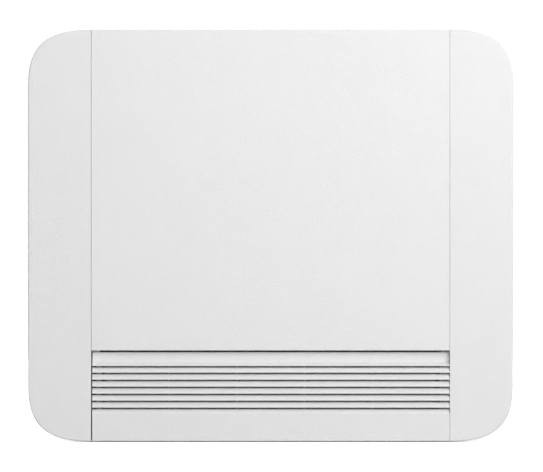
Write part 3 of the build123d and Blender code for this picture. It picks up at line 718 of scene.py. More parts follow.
def round_edges(piece: Piece, width: float, segments: int = 2, angle: float = SHARP_ANGLE) -> None:
    """Rounds a piece's sharp edges.

    Args:
        piece: the piece.
        width: how far in the rounding starts.
        segments: how many facets it has.
        angle: the least angle of a sharp edge.
    """
    modify(piece, "BEVEL", width=width, segments=segments, limit_method="ANGLE", angle_limit=angle)


def cut(piece: Piece, tool: Piece) -> None:
    """Cuts a piece with another, and removes that one.

    Args:
        piece: the piece to cut.
        tool: the shape to take out of it.
    """
    modify(piece, "BOOLEAN", object=tool, operation="DIFFERENCE", solver="EXACT")
    bpy.data.objects.remove(tool)


def settled(piece: Piece) -> Piece:
    """Puts a piece's place into its mesh, with its object at the origin.

    Args:
        piece: the piece.

    Returns:
        The same piece.
    """
    alone(piece)
    bpy.ops.object.transform_apply(location=True, rotation=True, scale=True)
    return piece


def turned(
    name: str, profile: Profile, seat: Vector = Vector(), axis: Vector = UP, sides: int = 32
) -> Piece:
    """Turns a closed piece on an axis, from the disc at one end to the disc at the other.

    Args:
        name: the piece's name.
        profile: radius and height of each step along the axis.
        seat: where height 0 lies.
        axis: the way that height runs.
        sides: how many sides a round has.

    Returns:
        The piece.
    """
    radius, height = profile[0]
    bpy.ops.object.select_all(action="DESELECT")
    bpy.ops.mesh.primitive_circle_add(
        vertices=sides,
        radius=radius,
        fill_type="NGON",
        location=seat + axis * height,
        rotation=axis.to_track_quat("Z", "Y").to_euler(),
    )
    piece = bpy.context.object
    piece.name = name
    bpy.ops.object.mode_set(mode="EDIT")
    bpy.ops.mesh.select_all(action="SELECT")
    for next_radius, next_height in profile[1:]:
        step = axis * (next_height - height)
        bpy.ops.mesh.extrude_region_move(TRANSFORM_OT_translate={"value": step})
        ratio = next_radius / radius
        bpy.ops.transform.resize(value=(ratio, ratio, ratio), center_override=seat + axis * next_height)
        radius, height = next_radius, next_height
    bpy.ops.mesh.select_all(action="SELECT")
    bpy.ops.mesh.normals_make_consistent(inside=False)
    bpy.ops.object.mode_set(mode="OBJECT")
    return settled(piece)


def turned_ring(
    name: str, profile: Profile, seat: Vector = Vector(), axis: Vector = UP, sides: int = 32
) -> Piece:
    """Turns a ring on an axis, from an outline that comes back to its first point.

    Args:
        name: the piece's name.
        profile: radius and height of each point of the ring's section.
        seat: where height 0 lies.
        axis: the way that height runs.
        sides: how many sides a round has.

    Returns:
        The piece.
    """
    ring = turned(name, [*profile, profile[0]], seat, axis, sides)
    with editing(ring):
        pick_faces(ring, lambda centre, normal: (centre - seat).cross(axis).length < MERGE_DISTANCE)
        bpy.ops.mesh.delete(type="ONLY_FACE")
        bpy.ops.mesh.select_all(action="SELECT")
        bpy.ops.mesh.remove_doubles(threshold=MERGE_DISTANCE)
        bpy.ops.mesh.normals_make_consistent(inside=False)
    return ring


def block(name: str, low: Vector, high: Vector) -> Piece:
    """Adds a cuboid between two corners.

    Args:
        name: the piece's name.
        low: its lowest corner.
        high: its highest corner.

    Returns:
        The piece, whose place is in its mesh.
    """
    bpy.ops.object.select_all(action="DESELECT")
    bpy.ops.mesh.primitive_cube_add(size=1, location=(low + high) / 2, scale=high - low)
    piece = bpy.context.object
    piece.name = name
    return settled(piece)


def joined(name: str, pieces: Sequence[Piece]) -> Piece:
    """Joins pieces into one mesh.

    Args:
        name: the name of the joined piece.
        pieces: what to join.

    Returns:
        The joined piece.
    """
    alone(pieces[0])
    for piece in pieces[1:]:
        piece.select_set(True)
    if len(pieces) > 1:
        bpy.ops.object.join()
    pieces[0].name = name
    return pieces[0]


def repeated(name: str, pattern: Piece, places: Iterable[Matrix]) -> Piece:
    """Copies a modelled piece to each place, each with its own mesh, and joins the copies.

    Args:
        name: the name of the joined copies.
        pattern: the piece to copy, which is removed.
        places: how each copy is turned and moved.

    Returns:
        The joined copies.
    """
    made = []
    for place in places:
        copy = bpy.data.objects.new(name, pattern.data.copy())
        copy.data.transform(place)
        bpy.context.scene.collection.objects.link(copy)
        made.append(copy)
    bpy.data.objects.remove(pattern)
    return joined(name, made)


def standing(seat: Vector, axis: Vector, turn: float = 0.0) -> Matrix:
    """Gives the place of a piece that was modelled upright at the origin.

    Args:
        seat: where its foot goes.
        axis: the way that it stands.
        turn: how far it is turned about itself.

    Returns:
        The place.
    """
    lean = axis.to_track_quat("Z", "Y").to_matrix().to_4x4()
    return Matrix.Translation(seat) @ lean @ Matrix.Rotation(turn, 4, "Z")


def smoothed(piece: Piece, angle: float = CREASE_ANGLE) -> None:
    """Shades a piece smooth, with its flats kept flat.

    Args:
        piece: the piece.
        angle: the least angle of an edge that stays sharp.
    """
    alone(piece)
    bpy.ops.object.shade_smooth_by_angle(angle=angle)
    modify(piece, "WEIGHTED_NORMAL", keep_sharp=True)


def refined(node: str, name: str, edge: float = 0.0, segments: int = 2) -> Piece:
    """Copies a node as one merged mesh with smooth rounds and small radii on its edges.

    Args:
        node: the node that the copy stands for.
        name: the copy's name.
        edge: how far in each sharp edge is rounded.
        segments: how many facets the rounding has.

    Returns:
        The copy.
    """
    piece = bpy.data.objects.new(name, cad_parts[node].data.copy())
    piece.data.materials.clear()
    bpy.context.scene.collection.objects.link(piece)
    alone(piece)
    bpy.ops.mesh.customdata_custom_splitnormals_clear()
    with editing(piece):
        bpy.ops.mesh.select_all(action="SELECT")
        bpy.ops.mesh.remove_doubles(threshold=MERGE_DISTANCE)
        if edge:
            bpy.ops.mesh.dissolve_limited(angle_limit=FLAT_ANGLE)
    if edge:
        round_edges(piece, edge, segments)
    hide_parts(node)
    return piece


def dress(piece: Piece, finish: Finish, crease: float = CREASE_ANGLE) -> Piece:
    """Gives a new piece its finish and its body.

    Args:
        piece: the finished piece.
        finish: what it is made of.
        crease: the least angle of an edge that stays sharp.

    Returns:
        The same piece.
    """
    piece.data.materials.clear()
    piece.data.materials.append(finish.material())
    smoothed(piece, crease)
    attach(piece, "root")
    log.info("%s: %d faces, %s", piece.name, len(piece.data.polygons), finish.name)
    return piece


def dress_node(node: str, finish: Finish) -> None:
    """Gives a node that stays as it is its finish.

    Args:
        node: the node's name.
        finish: what it is made of.
    """
    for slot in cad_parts[node].material_slots:
        slot.material = finish.material()
    log.info("%s: as it comes, %s", node, finish.name)


def middle(node: str) -> Vector:
    """Gives the middle of a node's box."""
    low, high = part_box(node)
    return (low + high) / 2


# Fasteners


@dataclass(frozen=True)
class CrossScrew:
    """A screw with a cross recess, modelled upright with its seat at the origin."""

    radius: float = 3.6 * MM
    height: float = 2.2 * MM
    sunk: bool = False
    recess_share: float = 0.58
    recess_width: float = 0.9 * MM
    recess_depth: float = 1.3 * MM
    recess_taper: float = 0.4
    turn: float = radians(37)

    def build(self, name: str) -> Piece:
        """Models the head and cuts its recess.

        Args:
            name: the screw's name.

        Returns:
            The screw.
        """
        r, h = self.radius, self.height
        if self.sunk:
            steps = [(0.5 * r, -h), (0.94 * r, -0.12 * h), (r, -0.03 * h), (0.97 * r, 0.0)]
        else:
            rim = [(1.22 * r, 0.0), (1.25 * r, 0.1 * h), (1.2 * r, 0.2 * h), (r, 0.24 * h)]
            steps = [*rim, (0.98 * r, 0.55 * h), (0.84 * r, 0.82 * h), (0.6 * r, 0.96 * h), (0.3 * r, h)]
        head = turned(name, steps, sides=28)
        top = steps[-1][1]
        for long_side, short_side in ((RIGHT, TO_WALL), (TO_WALL, RIGHT)):
            reach = long_side * self.recess_share * r + short_side * self.recess_width / 2
            slot = block("recess", -reach + UP * (top - self.recess_depth), reach + UP * (top + h))
            with editing(slot):
                pick_faces(slot, lambda centre, normal: normal.z < -FACING)
                bpy.ops.transform.resize(value=(self.recess_taper, self.recess_taper, 1.0))
            cut(head, slot)
        return head

    def fit(self, name: str, seats: Sequence[Seat], finish: Finish) -> Piece:
        """Fits one screw at each seat.

        Args:
            name: the name of the row of screws.
            seats: the place and the way out of each screw.
            finish: what they are made of.

        Returns:
            The row of screws.
        """
        places = [standing(seat, axis, self.turn * count) for count, (seat, axis) in enumerate(seats)]
        return dress(repeated(name, self.build("screw"), places), finish)


def hex_nut(name: str, seat: Vector, axis: Vector, radius: float, length: float) -> Piece:
    """Models a hexagonal nut with chamfered ends around a tube.

    Args:
        name: the nut's name.
        seat: the middle of its lower end.
        axis: the way that it runs.
        radius: its radius over the corners.
        length: its length.

    Returns:
        The nut.
    """
    chamfer, edge = 0.1 * length, 0.35 * MM
    end_radius = 0.87 * radius
    steps = [(end_radius, 0), (radius, chamfer), (radius, length - chamfer), (end_radius, length)]
    nut = turned(name, steps, seat, axis, sides=6)
    round_edges(nut, edge)
    return nut


def corner_seats(node: str, inset: float) -> list[Seat]:
    """Works out the seats of four screws in the corners of a node's right face.

    Args:
        node: the node's name.
        inset: how far in from its edges they sit.

    Returns:
        The place and the way out of each screw.
    """
    low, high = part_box(node)
    return [
        (Vector((high.x, y, z)), RIGHT)
        for y in (low.y + inset, high.y - inset)
        for z in (low.z + inset, high.z - inset)
    ]


# Sub-assemblies


@dataclass
class Cabinet:
    """The white outside: covers, front panel, intake grille and air outlet."""

    lip_radius: float = 0.3 * MM
    frame_radius: float = 0.4 * MM
    blade_nose: float = 0.75 * MM
    nose_segments: int = 3

    def build(self) -> None:
        """Builds the covers, the front and the top."""
        self.covers()
        self.front()
        self.outlet()

    def covers(self) -> None:
        """Smooths the two moulded side covers."""
        for side in ("left", "right"):
            dress(refined(f"{side}_side_cover", f"{side}_cover_moulding"), moulded_white)

    def front(self) -> None:
        """Smooths the folded panel and rounds the lips of the intake grille."""
        dress(refined("front_panel", "front_panel_folded"), coated_white)
        dress(refined("intake_grille", "intake_grille_moulding", self.lip_radius), moulded_white)

    def outlet(self) -> None:
        """Rounds the frame of the outlet and the noses of its blades."""
        dress(refined("outlet_frame", "outlet_frame_moulding", self.frame_radius), moulded_white)
        blades = refined("outlet_blades", "outlet_blade_row", self.blade_nose, self.nose_segments)
        dress(blades, moulded_white)


@dataclass
class Chassis:
    """The galvanised sheets, the foam linings, a dark foam strip that paints shade into the left joint,
    and the screws of the back plate.
    """

    sheet_edge: float = 0.3 * MM
    sheet: float = 1.5 * MM
    lining_edge: float = 1.2 * MM
    screw_margin: float = 9 * MM
    screw_sink: float = 0.06 * MM
    side_screws: int = 6
    foot_screws: int = 4
    strip_width: float = 12 * MM
    strip_thickness: float = 3 * MM
    strip_edge: float = 0.5 * MM
    sunk_screw: CrossScrew = CrossScrew(
        radius=3.7 * MM, height=1.3 * MM, sunk=True, recess_depth=0.9 * MM
    )

    def build(self) -> None:
        """Builds the sheets, the foam and the screws."""
        for node in ("left_bulkhead", "right_bulkhead", "base_plate", "top_rail"):
            dress(refined(node, f"{node}_sheet", self.sheet_edge), galvanised)
        dress_node("duct_front", galvanised)
        for node in ("duct_front_lining", "duct_rear_lining"):
            dress(refined(node, f"{node}_foam", self.lining_edge), lining_foam)
        self.shade_left_joint()
        self.back()

    def seats(self) -> list[Seat]:
        """Works out where the back plate is screwed to the bulkheads and the base.

        Returns:
            The place and the way out of each screw.
        """
        low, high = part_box("back_plate")
        inset = self.screw_margin
        rise = (high.z - low.z - 2 * inset) / (self.side_screws - 1)
        sides = [
            Vector((x, high.y, low.z + inset + rise * step))
            for x in (low.x + inset, high.x - inset)
            for step in range(self.side_screws)
        ]
        span = (high.x - low.x) / (self.foot_screws + 1)
        foot = [
            Vector((low.x + span * (step + 1), high.y, low.z + 0.5 * inset))
            for step in range(self.foot_screws)
        ]
        return [(seat, TO_WALL) for seat in sides + foot]

    def shade_left_joint(self) -> None:
        """Sticks a dark foam strip behind the joint of the left cover and the intake grille, as painted
        shade in that joint.
        """
        low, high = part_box("intake_grille")
        joint = (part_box("left_side_cover")[1].x + low.x) / 2
        front = high.y - self.strip_thickness
        # painted shade: this dark strip darkens the left joint of the grille
        strip = block(
            "left_joint_shade_strip",
            Vector((joint - self.strip_width / 2, front, low.z + self.sheet)),
            Vector((joint + self.strip_width / 2, high.y, high.z)),
        )
        round_edges(strip, self.strip_edge, 3)
        dress(strip, lining_foam)

    def back(self) -> None:
        """Sinks the screws of the back plate flush with its face."""
        plate = refined("back_plate", "back_plate_sheet", self.sheet_edge)
        seats = self.seats()
        r = self.sunk_screw.radius
        steps = [(0.55 * r, -self.sheet), (1.07 * r, -0.05 * MM), (1.1 * r, 0.3 * MM)]
        cones = repeated("cones", turned("cone", steps), [standing(seat, axis) for seat, axis in seats])
        cut(plate, cones)
        dress(plate, galvanised)
        flush = [(seat - axis * self.screw_sink, axis) for seat, axis in seats]
        self.sunk_screw.fit("back_plate_screws", flush, zinc_screw)


@dataclass
class Filter:
    """The filter behind the intake grille."""

    edge: float = 0.4 * MM

    def build(self) -> None:
        """Rounds the frame and dresses the net."""
        dress(refined("filter_frame", "filter_frame_moulding", self.edge), filter_plastic)
        dress_node("filter_mesh", filter_net)


@dataclass
class Coil:
    """The finned coil: thin rippled fins on copper tubes between two end plates."""

    fin_pitch: float = 2.1 * MM
    fin_thickness: float = 0.16 * MM
    fin_strips: int = 10
    fin_ripple: float = 0.35 * MM
    end_margin: float = 4 * MM
    row_pitch: float = 22 * MM
    tube_pitch: float = 25 * MM
    tube_radius: float = 4.75 * MM
    tube_chamfer: float = 0.2 * MM
    plate_edge: float = 0.3 * MM
    bead: float = 1.5 * MM
    bead_root: float = 0.2 * MM
    bead_turn: float = radians(20)

    def __post_init__(self) -> None:
        """Reads the slope of the coil from the corners of its end plate."""
        points = [point.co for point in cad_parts["coil_right_plate"].data.vertices]
        corner = min(points, key=lambda point: point.y)
        lowest = min(points, key=lambda point: point.z)
        highest = max(points, key=lambda point: point.z)
        across = Vector((0, lowest.y - corner.y, lowest.z - corner.z))
        slope = Vector((0, highest.y - corner.y, highest.z - corner.z))
        self.depth = across.length - 2 * self.end_margin
        self.height = slope.length - 2 * self.end_margin
        self.across, self.slope = across.normalized(), slope.normalized()
        self.centre = Vector((0, *middle("coil_fins").yz))
        self.half_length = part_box("coil_fins")[1].x
        self.rows = round(self.height / self.tube_pitch)

    def at(self, x: float, across: float, along: float) -> Vector:
        """Gives the point of the coil at x, across its rows and along its slope."""
        return self.centre + RIGHT * x + self.across * across + self.slope * along

    def tube_seats(self, x: float) -> list[Vector]:
        """Gives the middle of every tube in the section at x.

        Args:
            x: where the section lies.

        Returns:
            One point for each tube.
        """
        first = (1 - self.rows) * self.tube_pitch / 2
        return [
            self.at(x, side * self.row_pitch / 2, first + row * self.tube_pitch)
            for side in (-1, 1)
            for row in range(self.rows)
        ]

    def build(self) -> None:
        """Builds the fins, the tubes, the plates, the bends and their brazed joints."""
        self.fins()
        self.tubes()
        for plate in ("coil_left_plate", "coil_right_plate"):
            dress(refined(plate, f"{plate}_sheet", self.plate_edge), galvanised)
        for bend in ("return_bend", "cross_bend"):
            dress(refined(f"coil_{bend}s", f"{bend}_tubes"), drawn_copper)
        self.joints()

    def fins(self) -> None:
        """Ripples one fin and repeats it along the coil."""
        bpy.ops.object.select_all(action="DESELECT")
        bpy.ops.mesh.primitive_grid_add(x_subdivisions=self.fin_strips, y_subdivisions=1, size=1)
        fin = bpy.context.object
        fin.scale = (self.depth, self.height, 1)
        settled(fin)
        strip = self.depth / self.fin_strips
        with editing(fin, Pick.POINTS):
            pick_points(fin, lambda point: round((point.x + self.depth / 2) / strip) % 2 == 1)
            bpy.ops.transform.translate(value=(0, 0, self.fin_ripple))
        modify(fin, "SOLIDIFY", thickness=self.fin_thickness, offset=0)
        upright = Matrix((self.across, self.slope, RIGHT)).transposed().to_4x4()
        room = 2 * self.half_length - 2 * self.fin_ripple
        count = int(room / self.fin_pitch) + 1
        start = -(count - 1) * self.fin_pitch / 2 - self.fin_ripple / 2
        places = [
            Matrix.Translation(self.at(start + step * self.fin_pitch, 0, 0)) @ upright
            for step in range(count)
        ]
        pack = repeated("coil_fin_pack", fin, places)
        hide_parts("coil_fins")
        dress(pack, bare_fin)

    def tubes(self) -> None:
        """Runs the tubes through the fins."""
        r, length, chamfer = self.tube_radius, 2 * self.half_length, self.tube_chamfer
        steps = [(0.96 * r, 0), (r, chamfer), (r, length - chamfer), (0.96 * r, length)]
        tube = turned("tube", steps, sides=24)
        places = [standing(seat, RIGHT) for seat in self.tube_seats(-self.half_length)]
        dress(repeated("coil_tube_runs", tube, places), drawn_copper)

    def collar(self, name: str, radius: float) -> Piece:
        """Models the bead of a brazed joint around a tube.

        Args:
            name: the bead's name.
            radius: the tube's radius.

        Returns:
            The bead, upright at the origin.
        """
        b, root = self.bead, radius - self.bead_root
        slope = [(radius + b, 0), (radius + 0.8 * b, 0.5 * b), (radius + 0.3 * b, 1.1 * b)]
        return turned_ring(name, [(root, 0), *slope, (root, 1.7 * b)], sides=24)

    def joints(self) -> None:
        """Brazes a bead where each tube leaves an end plate."""
        for side, axis, plate in ((1, RIGHT, "coil_right_plate"), (-1, LEFT, "coil_left_plate")):
            face = max(abs(corner.x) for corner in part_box(plate))
            places = [standing(seat, axis, self.bead_turn) for seat in self.tube_seats(side * face)]
            bead = self.collar("bead", self.tube_radius)
            dress(repeated(f"{plate}_beads", bead, places), brazing)


@dataclass
class WaterSide:
    """Headers, valves with their hand caps, and the air vent, in the left compartment."""

    coil: Coil
    header_radius: float = 9 * MM
    branch_radius: float = 8 * MM
    stub_sink: float = 0.6 * MM
    tee_gap: float = 0.4 * MM
    cap_length: float = 5 * MM
    cap_wall: float = 0.9 * MM
    valve_radius: float = 14 * MM
    valve_edge: float = 0.5 * MM
    nut_radius: float = 14.5 * MM
    nut_length: float = 11 * MM
    packing_radius: float = 8.75 * MM
    packing_gap: float = 0.6 * MM
    bore_radius: float = 9.3 * MM
    bore_depth: float = 13 * MM
    thread_pitch: float = 1.8 * MM
    thread_depth: float = 0.9 * MM
    flutes: int = 12
    flute_rim: float = 0.25 * MM
    flute_depth: float = 0.8 * MM
    flute_edge: float = 0.2 * MM
    vent_radius: float = 4 * MM
    vent_length: float = 12 * MM
    vent_turn: float = radians(25)
    key_slot: float = 1.2 * MM
    key_depth: float = 1.6 * MM

    def build(self) -> None:
        """Builds both water lines and the vent."""
        for line, side in ((Line.SUPPLY, 1), (Line.RETURN, -1)):
            self.header(line, side)
            self.valve(line)
            self.cap(line)
        self.vent()

    def header(self, line: Line, side: int) -> None:
        """Smooths a header, brazes its stubs and its branch, and closes its ends.

        Args:
            line: the water line.
            side: which row of tubes the header stands over.
        """
        dress(refined(f"{line}_header", f"{line}_header_tube"), drawn_copper)
        low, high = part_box(f"{line}_header")
        axis_x = low.x + self.header_radius
        branch = self.valve_middle(line)
        stubs = [
            seat for seat in self.coil.tube_seats(axis_x + self.header_radius)
            if side * (seat - self.coil.centre).dot(self.coil.across) > 0
        ][::2]
        places = [standing(seat - RIGHT * self.stub_sink, RIGHT) for seat in stubs]
        beads = repeated("beads", self.coil.collar("bead", self.coil.tube_radius), places)
        foot = self.coil.at(axis_x, side * self.coil.row_pitch / 2, 0)
        rise = (branch.z - foot.z) / self.coil.slope.z
        tee = foot + self.coil.slope * rise
        out = tee + TO_WALL * (self.header_radius + self.tee_gap) / cos(self.lean())
        tee_bead = self.coil.collar("tee_bead", self.branch_radius)
        tee_bead.data.transform(standing(out, TO_WALL))
        dress(joined(f"{line}_header_beads", [beads, tee_bead]), brazing)
        self.end_caps(line, foot, high.z, low.z)

    def lean(self) -> float:
        """Gives how far the coil leans from upright, in radians."""
        return atan2(self.coil.slope.y, self.coil.slope.z)

    def end_caps(self, line: Line, foot: Vector, top: float, bottom: float) -> None:
        """Closes both ends of a header with a domed cap.

        Args:
            line: the water line.
            foot: a point on the header's axis.
            top: the height of the header's highest point.
            bottom: the height of its lowest point.
        """
        slope, r = self.coil.slope, self.header_radius
        drop = r * sin(self.lean())
        caps = []
        for height, way in ((top - drop, 1), (bottom + drop, -1)):
            end = foot + slope * ((height - foot.z) / slope.z)
            axis = slope * way
            outer = r + self.cap_wall
            wall = [(r, -self.cap_length), (outer, -self.cap_length), (outer, -0.6 * MM)]
            dome = [(r + 0.2 * MM, 0.5 * MM), (0.7 * r, 1.1 * MM), (0.3 * r, 1.3 * MM)]
            caps.append(turned("cap", wall + dome, end, axis))
        dress(joined(f"{line}_header_caps", caps), drawn_copper)

    def valve_middle(self, line: Line) -> Vector:
        """Gives the point on the axis of a valve's body, at its header end."""
        low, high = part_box(f"{line}_valve")
        return Vector(((low.x + high.x) / 2, low.y, low.z + self.valve_radius))

    def valve(self, line: Line) -> None:
        """Smooths a valve and adds its union nut, its packing nut and the thread of its mouth.

        Args:
            line: the water line.
        """
        dress(refined(f"{line}_valve", f"{line}_valve_body", self.valve_edge), machined_brass)
        front = self.valve_middle(line)
        cap_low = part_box(f"{line}_valve_cap")[0]
        start = front - TO_WALL * self.nut_length
        union = hex_nut("union", start, TO_WALL, self.nut_radius, self.nut_length)
        stem = middle(f"{line}_valve_cap")
        stem.z = front.z + 0.93 * self.valve_radius
        length = cap_low.z - stem.z - self.packing_gap
        packing = hex_nut("packing", stem, UP, self.packing_radius, length)
        dress(joined(f"{line}_valve_nuts", [union, packing]), machined_brass)
        mouth = Vector((front.x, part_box(f"{line}_valve")[1].y, front.z))
        dress(turned_ring(f"{line}_valve_thread", self.thread(), mouth, TO_WALL, 40), machined_brass)

    def thread(self) -> Profile:
        """Draws the section of a pipe thread, from its inner end to the mouth of the bore.

        Returns:
            Radius and height of each point.
        """
        turns = int(self.bore_depth / self.thread_pitch)
        buried, root = self.bore_radius + 0.3 * MM, self.bore_radius - 0.05 * MM
        section = [(buried, -turns * self.thread_pitch)]
        for count in range(turns):
            start = (count - turns) * self.thread_pitch
            section.append((root, start))
            section.append((self.bore_radius - self.thread_depth, start + self.thread_pitch / 2))
        mouth = -0.2 * MM
        return [*section, (root, mouth), (buried, mouth)]

    def cap(self, line: Line) -> None:
        """Models a valve's hand cap, with flutes for the fingers and a dished top.

        Args:
            line: the water line.
        """
        low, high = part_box(f"{line}_valve_cap")
        r, h = (high.x - low.x) / 2, high.z - low.z
        seat = Vector(((low.x + high.x) / 2, (low.y + high.y) / 2, low.z))
        rim = [(0.95 * r, 0), (r, 0.6 * MM), (r, 0.76 * h), (0.97 * r, 0.88 * h), (0.88 * r, 0.97 * h)]
        dish = [(0.8 * r, h), (0.7 * r, h), (0.62 * r, h - 0.9 * MM), (0.2 * r, h - 1.1 * MM)]
        sides = 4 * self.flutes
        cap = turned(f"{line}_hand_cap", rim + dish, seat, UP, sides)

        def in_flute(centre: Vector, normal: Vector) -> bool:
            """Tells whether a face of the rim lies in a flute."""
            angle = degrees(atan2(centre.y - seat.y, centre.x - seat.x)) % 360
            upright = abs(normal.z) < 0.3 and centre.z < low.z + 0.8 * h
            return upright and int(angle / 360 * sides) % 4 < 2

        with editing(cap):
            pick_faces(cap, in_flute)
            bpy.ops.mesh.inset(thickness=self.flute_rim, depth=-self.flute_depth)
        round_edges(cap, self.flute_edge, angle=radians(30))
        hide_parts(f"{line}_valve_cap")
        dress(cap, moulded_black)

    def vent(self) -> None:
        """Turns the air vent: a foot, a neck and a head with a slot for its key."""
        r, length = self.vent_radius, self.vent_length
        axis = self.coil.slope
        foot = middle("air_vent") - axis * length / 2
        neck = [(r, 0), (r, 0.3 * length), (0.75 * r, 0.36 * length), (0.75 * r, 0.46 * length)]
        crown = [(0.95 * r, 0.52 * length), (0.95 * r, 0.94 * length), (0.84 * r, length)]
        body = turned("air_vent_body", neck + crown)
        half, reach, floor = self.key_slot / 2, 1.2 * r, length - self.key_depth
        cut(body, block("slot", Vector((-half, -reach, floor)), Vector((half, reach, 1.2 * length))))
        body.data.transform(standing(foot, axis, self.vent_turn))
        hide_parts("air_vent")
        dress(body, machined_brass)


@dataclass
class Trays:
    """The condensate trays with their barbed spigots."""

    rim_radius: float = 0.5 * MM
    spigot_radius: float = 8 * MM
    barb: float = 0.8 * MM
    barb_length: float = 3 * MM
    barb_pitch: float = 4 * MM
    barb_start: float = 4.2 * MM
    barbs: int = 3

    def build(self) -> None:
        """Rounds both trays and cuts the barbs of the drain spigot."""
        for tray in ("drip_tray", "valve_tray"):
            dress(refined(tray, f"{tray}_moulding", self.rim_radius), moulded_black)
        low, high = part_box("valve_tray")
        centre = Vector(((low.x + high.x) / 2, high.y, low.z + self.spigot_radius))
        r, length = self.spigot_radius, self.barb_length
        buried, crest = r - 0.3 * MM, r + self.barb
        section = [(buried, 0), (crest, 0.3 * MM), (crest, 0.7 * MM), (r, length), (buried, length)]
        ring = turned_ring("barb", section)
        starts = [self.barb_start + self.barb_pitch * step for step in range(self.barbs)]
        places = [standing(centre - TO_WALL * start, TO_WALL) for start in starts]
        dress(repeated("drain_spigot_barbs", ring, places), moulded_black)


@dataclass
class FanUnit:
    """Cross-flow fan wheel in its scroll, with its bearing and its motor."""

    motor_radius: float = 42 * MM
    motor_length: float = 50 * MM
    cap_radius: float = 30 * MM
    plate_edge: float = 0.3 * MM
    plate_inset: float = 9 * MM
    bearing_edge: float = 0.8 * MM
    ring_inner: float = 5.2 * MM
    ring_outer: float = 8.4 * MM
    ring_edge: float = 0.2 * MM
    bead_places: tuple[float, ...] = (0.3, 0.72)
    ribs: int = 20
    rib_width: float = 1.8 * MM
    rib_height: float = 1.3 * MM
    rib_edge: float = 0.3 * MM
    rib_sweep: float = 40.0
    tie_bolts: int = 4
    plate_screw: CrossScrew = CrossScrew(radius=3.4 * MM, height=2.4 * MM)
    tie_screw: CrossScrew = CrossScrew(radius=2.6 * MM, height=1.9 * MM, recess_width=0.7 * MM)

    def build(self) -> None:
        """Builds the fan's sheets, its wheel, its bearing and its motor."""
        dress(refined("fan_wheel", "fan_wheel_blades"), wheel_metal)
        for sheet in ("fan_scroll", "fan_tongue"):
            dress(refined(sheet, f"{sheet}_sheet"), galvanised)
        self.bearing()
        self.motor()

    def bearing(self) -> None:
        """Rounds the bearing and adds the ring that keeps the shaft in it."""
        dress(refined("fan_bearing", "fan_bearing_block", self.bearing_edge), moulded_black)
        centre = Vector((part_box("fan_bearing")[0].x, *middle("fan_bearing").yz))
        inner, outer, back, front = self.ring_inner, self.ring_outer, -0.6 * MM, 0.8 * MM
        section = [(inner, back), (outer, back), (outer, front), (inner, front)]
        ring = turned_ring("fan_shaft_ring", section, centre, LEFT)
        round_edges(ring, self.ring_edge)
        dress(ring, zinc_screw)

    def motor(self) -> None:
        """Builds the motor with its stator band, cooling ribs and tie bolts, on its plate."""
        dress(refined("motor_plate", "motor_plate_sheet", self.plate_edge), galvanised)
        dress(refined("fan_motor", "fan_motor_housing"), motor_enamel)
        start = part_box("fan_motor")[0].x
        axis = Vector((0, *middle("fan_motor").yz))
        face = start + self.motor_length
        self.bands(axis, start)
        self.cooling_ribs(axis, face)
        radius = (self.motor_radius + self.cap_radius) / 2
        angles = [radians(45) + 2 * pi * step / self.tie_bolts for step in range(self.tie_bolts)]
        bolts = [(axis + RIGHT * face + self.around(radius, angle), RIGHT) for angle in angles]
        self.tie_screw.fit("motor_tie_bolts", bolts, zinc_screw)
        corners = corner_seats("motor_plate", self.plate_inset)
        self.plate_screw.fit("motor_plate_screws", corners, zinc_screw)

    @staticmethod
    def around(radius: float, angle: float) -> Vector:
        """Gives the step from the shaft's axis to a radius and an angle."""
        return Vector((0, radius * cos(angle), radius * sin(angle)))

    def bands(self, axis: Vector, start: float) -> None:
        """Puts the two rolled beads around the motor's housing.

        Args:
            axis: a point on the shaft's axis.
            start: where the motor starts.
        """
        r = self.motor_radius
        rise = [(r - 0.3 * MM, -1.4 * MM), (r + 0.2 * MM, -1.2 * MM), (r + 0.7 * MM, -0.5 * MM)]
        section = rise + [(radius, -height) for radius, height in reversed(rise)]
        seats = [axis + RIGHT * (start + share * self.motor_length) for share in self.bead_places]
        rings = [turned_ring("bead", section, seat, RIGHT, 64) for seat in seats]
        dress(joined("motor_housing_beads", rings), motor_enamel)

    def cooling_ribs(self, axis: Vector, face: float) -> None:
        """Rings the end of the motor with low radial ribs, apart from where its tie bolts are.

        Args:
            axis: a point on the shaft's axis.
            face: where the motor's end face lies.
        """
        inner, outer = self.cap_radius + 1.2 * MM, self.motor_radius - 5 * MM
        half, sink = self.rib_width / 2, 0.1 * MM
        rib = block("rib", Vector((0, inner, -half)), Vector((self.rib_height, outer, half)))
        round_edges(rib, self.rib_edge)
        turn = 2 * pi / self.ribs
        places = [
            Matrix.Translation(axis + RIGHT * (face - sink)) @ Matrix.Rotation(turn * step, 4, "X")
            for step in range(self.ribs)
            if abs((degrees(turn * step) + 45) % 90 - 45) < self.rib_sweep
        ]
        dress(repeated("motor_cooling_ribs", rib, places), motor_enamel)


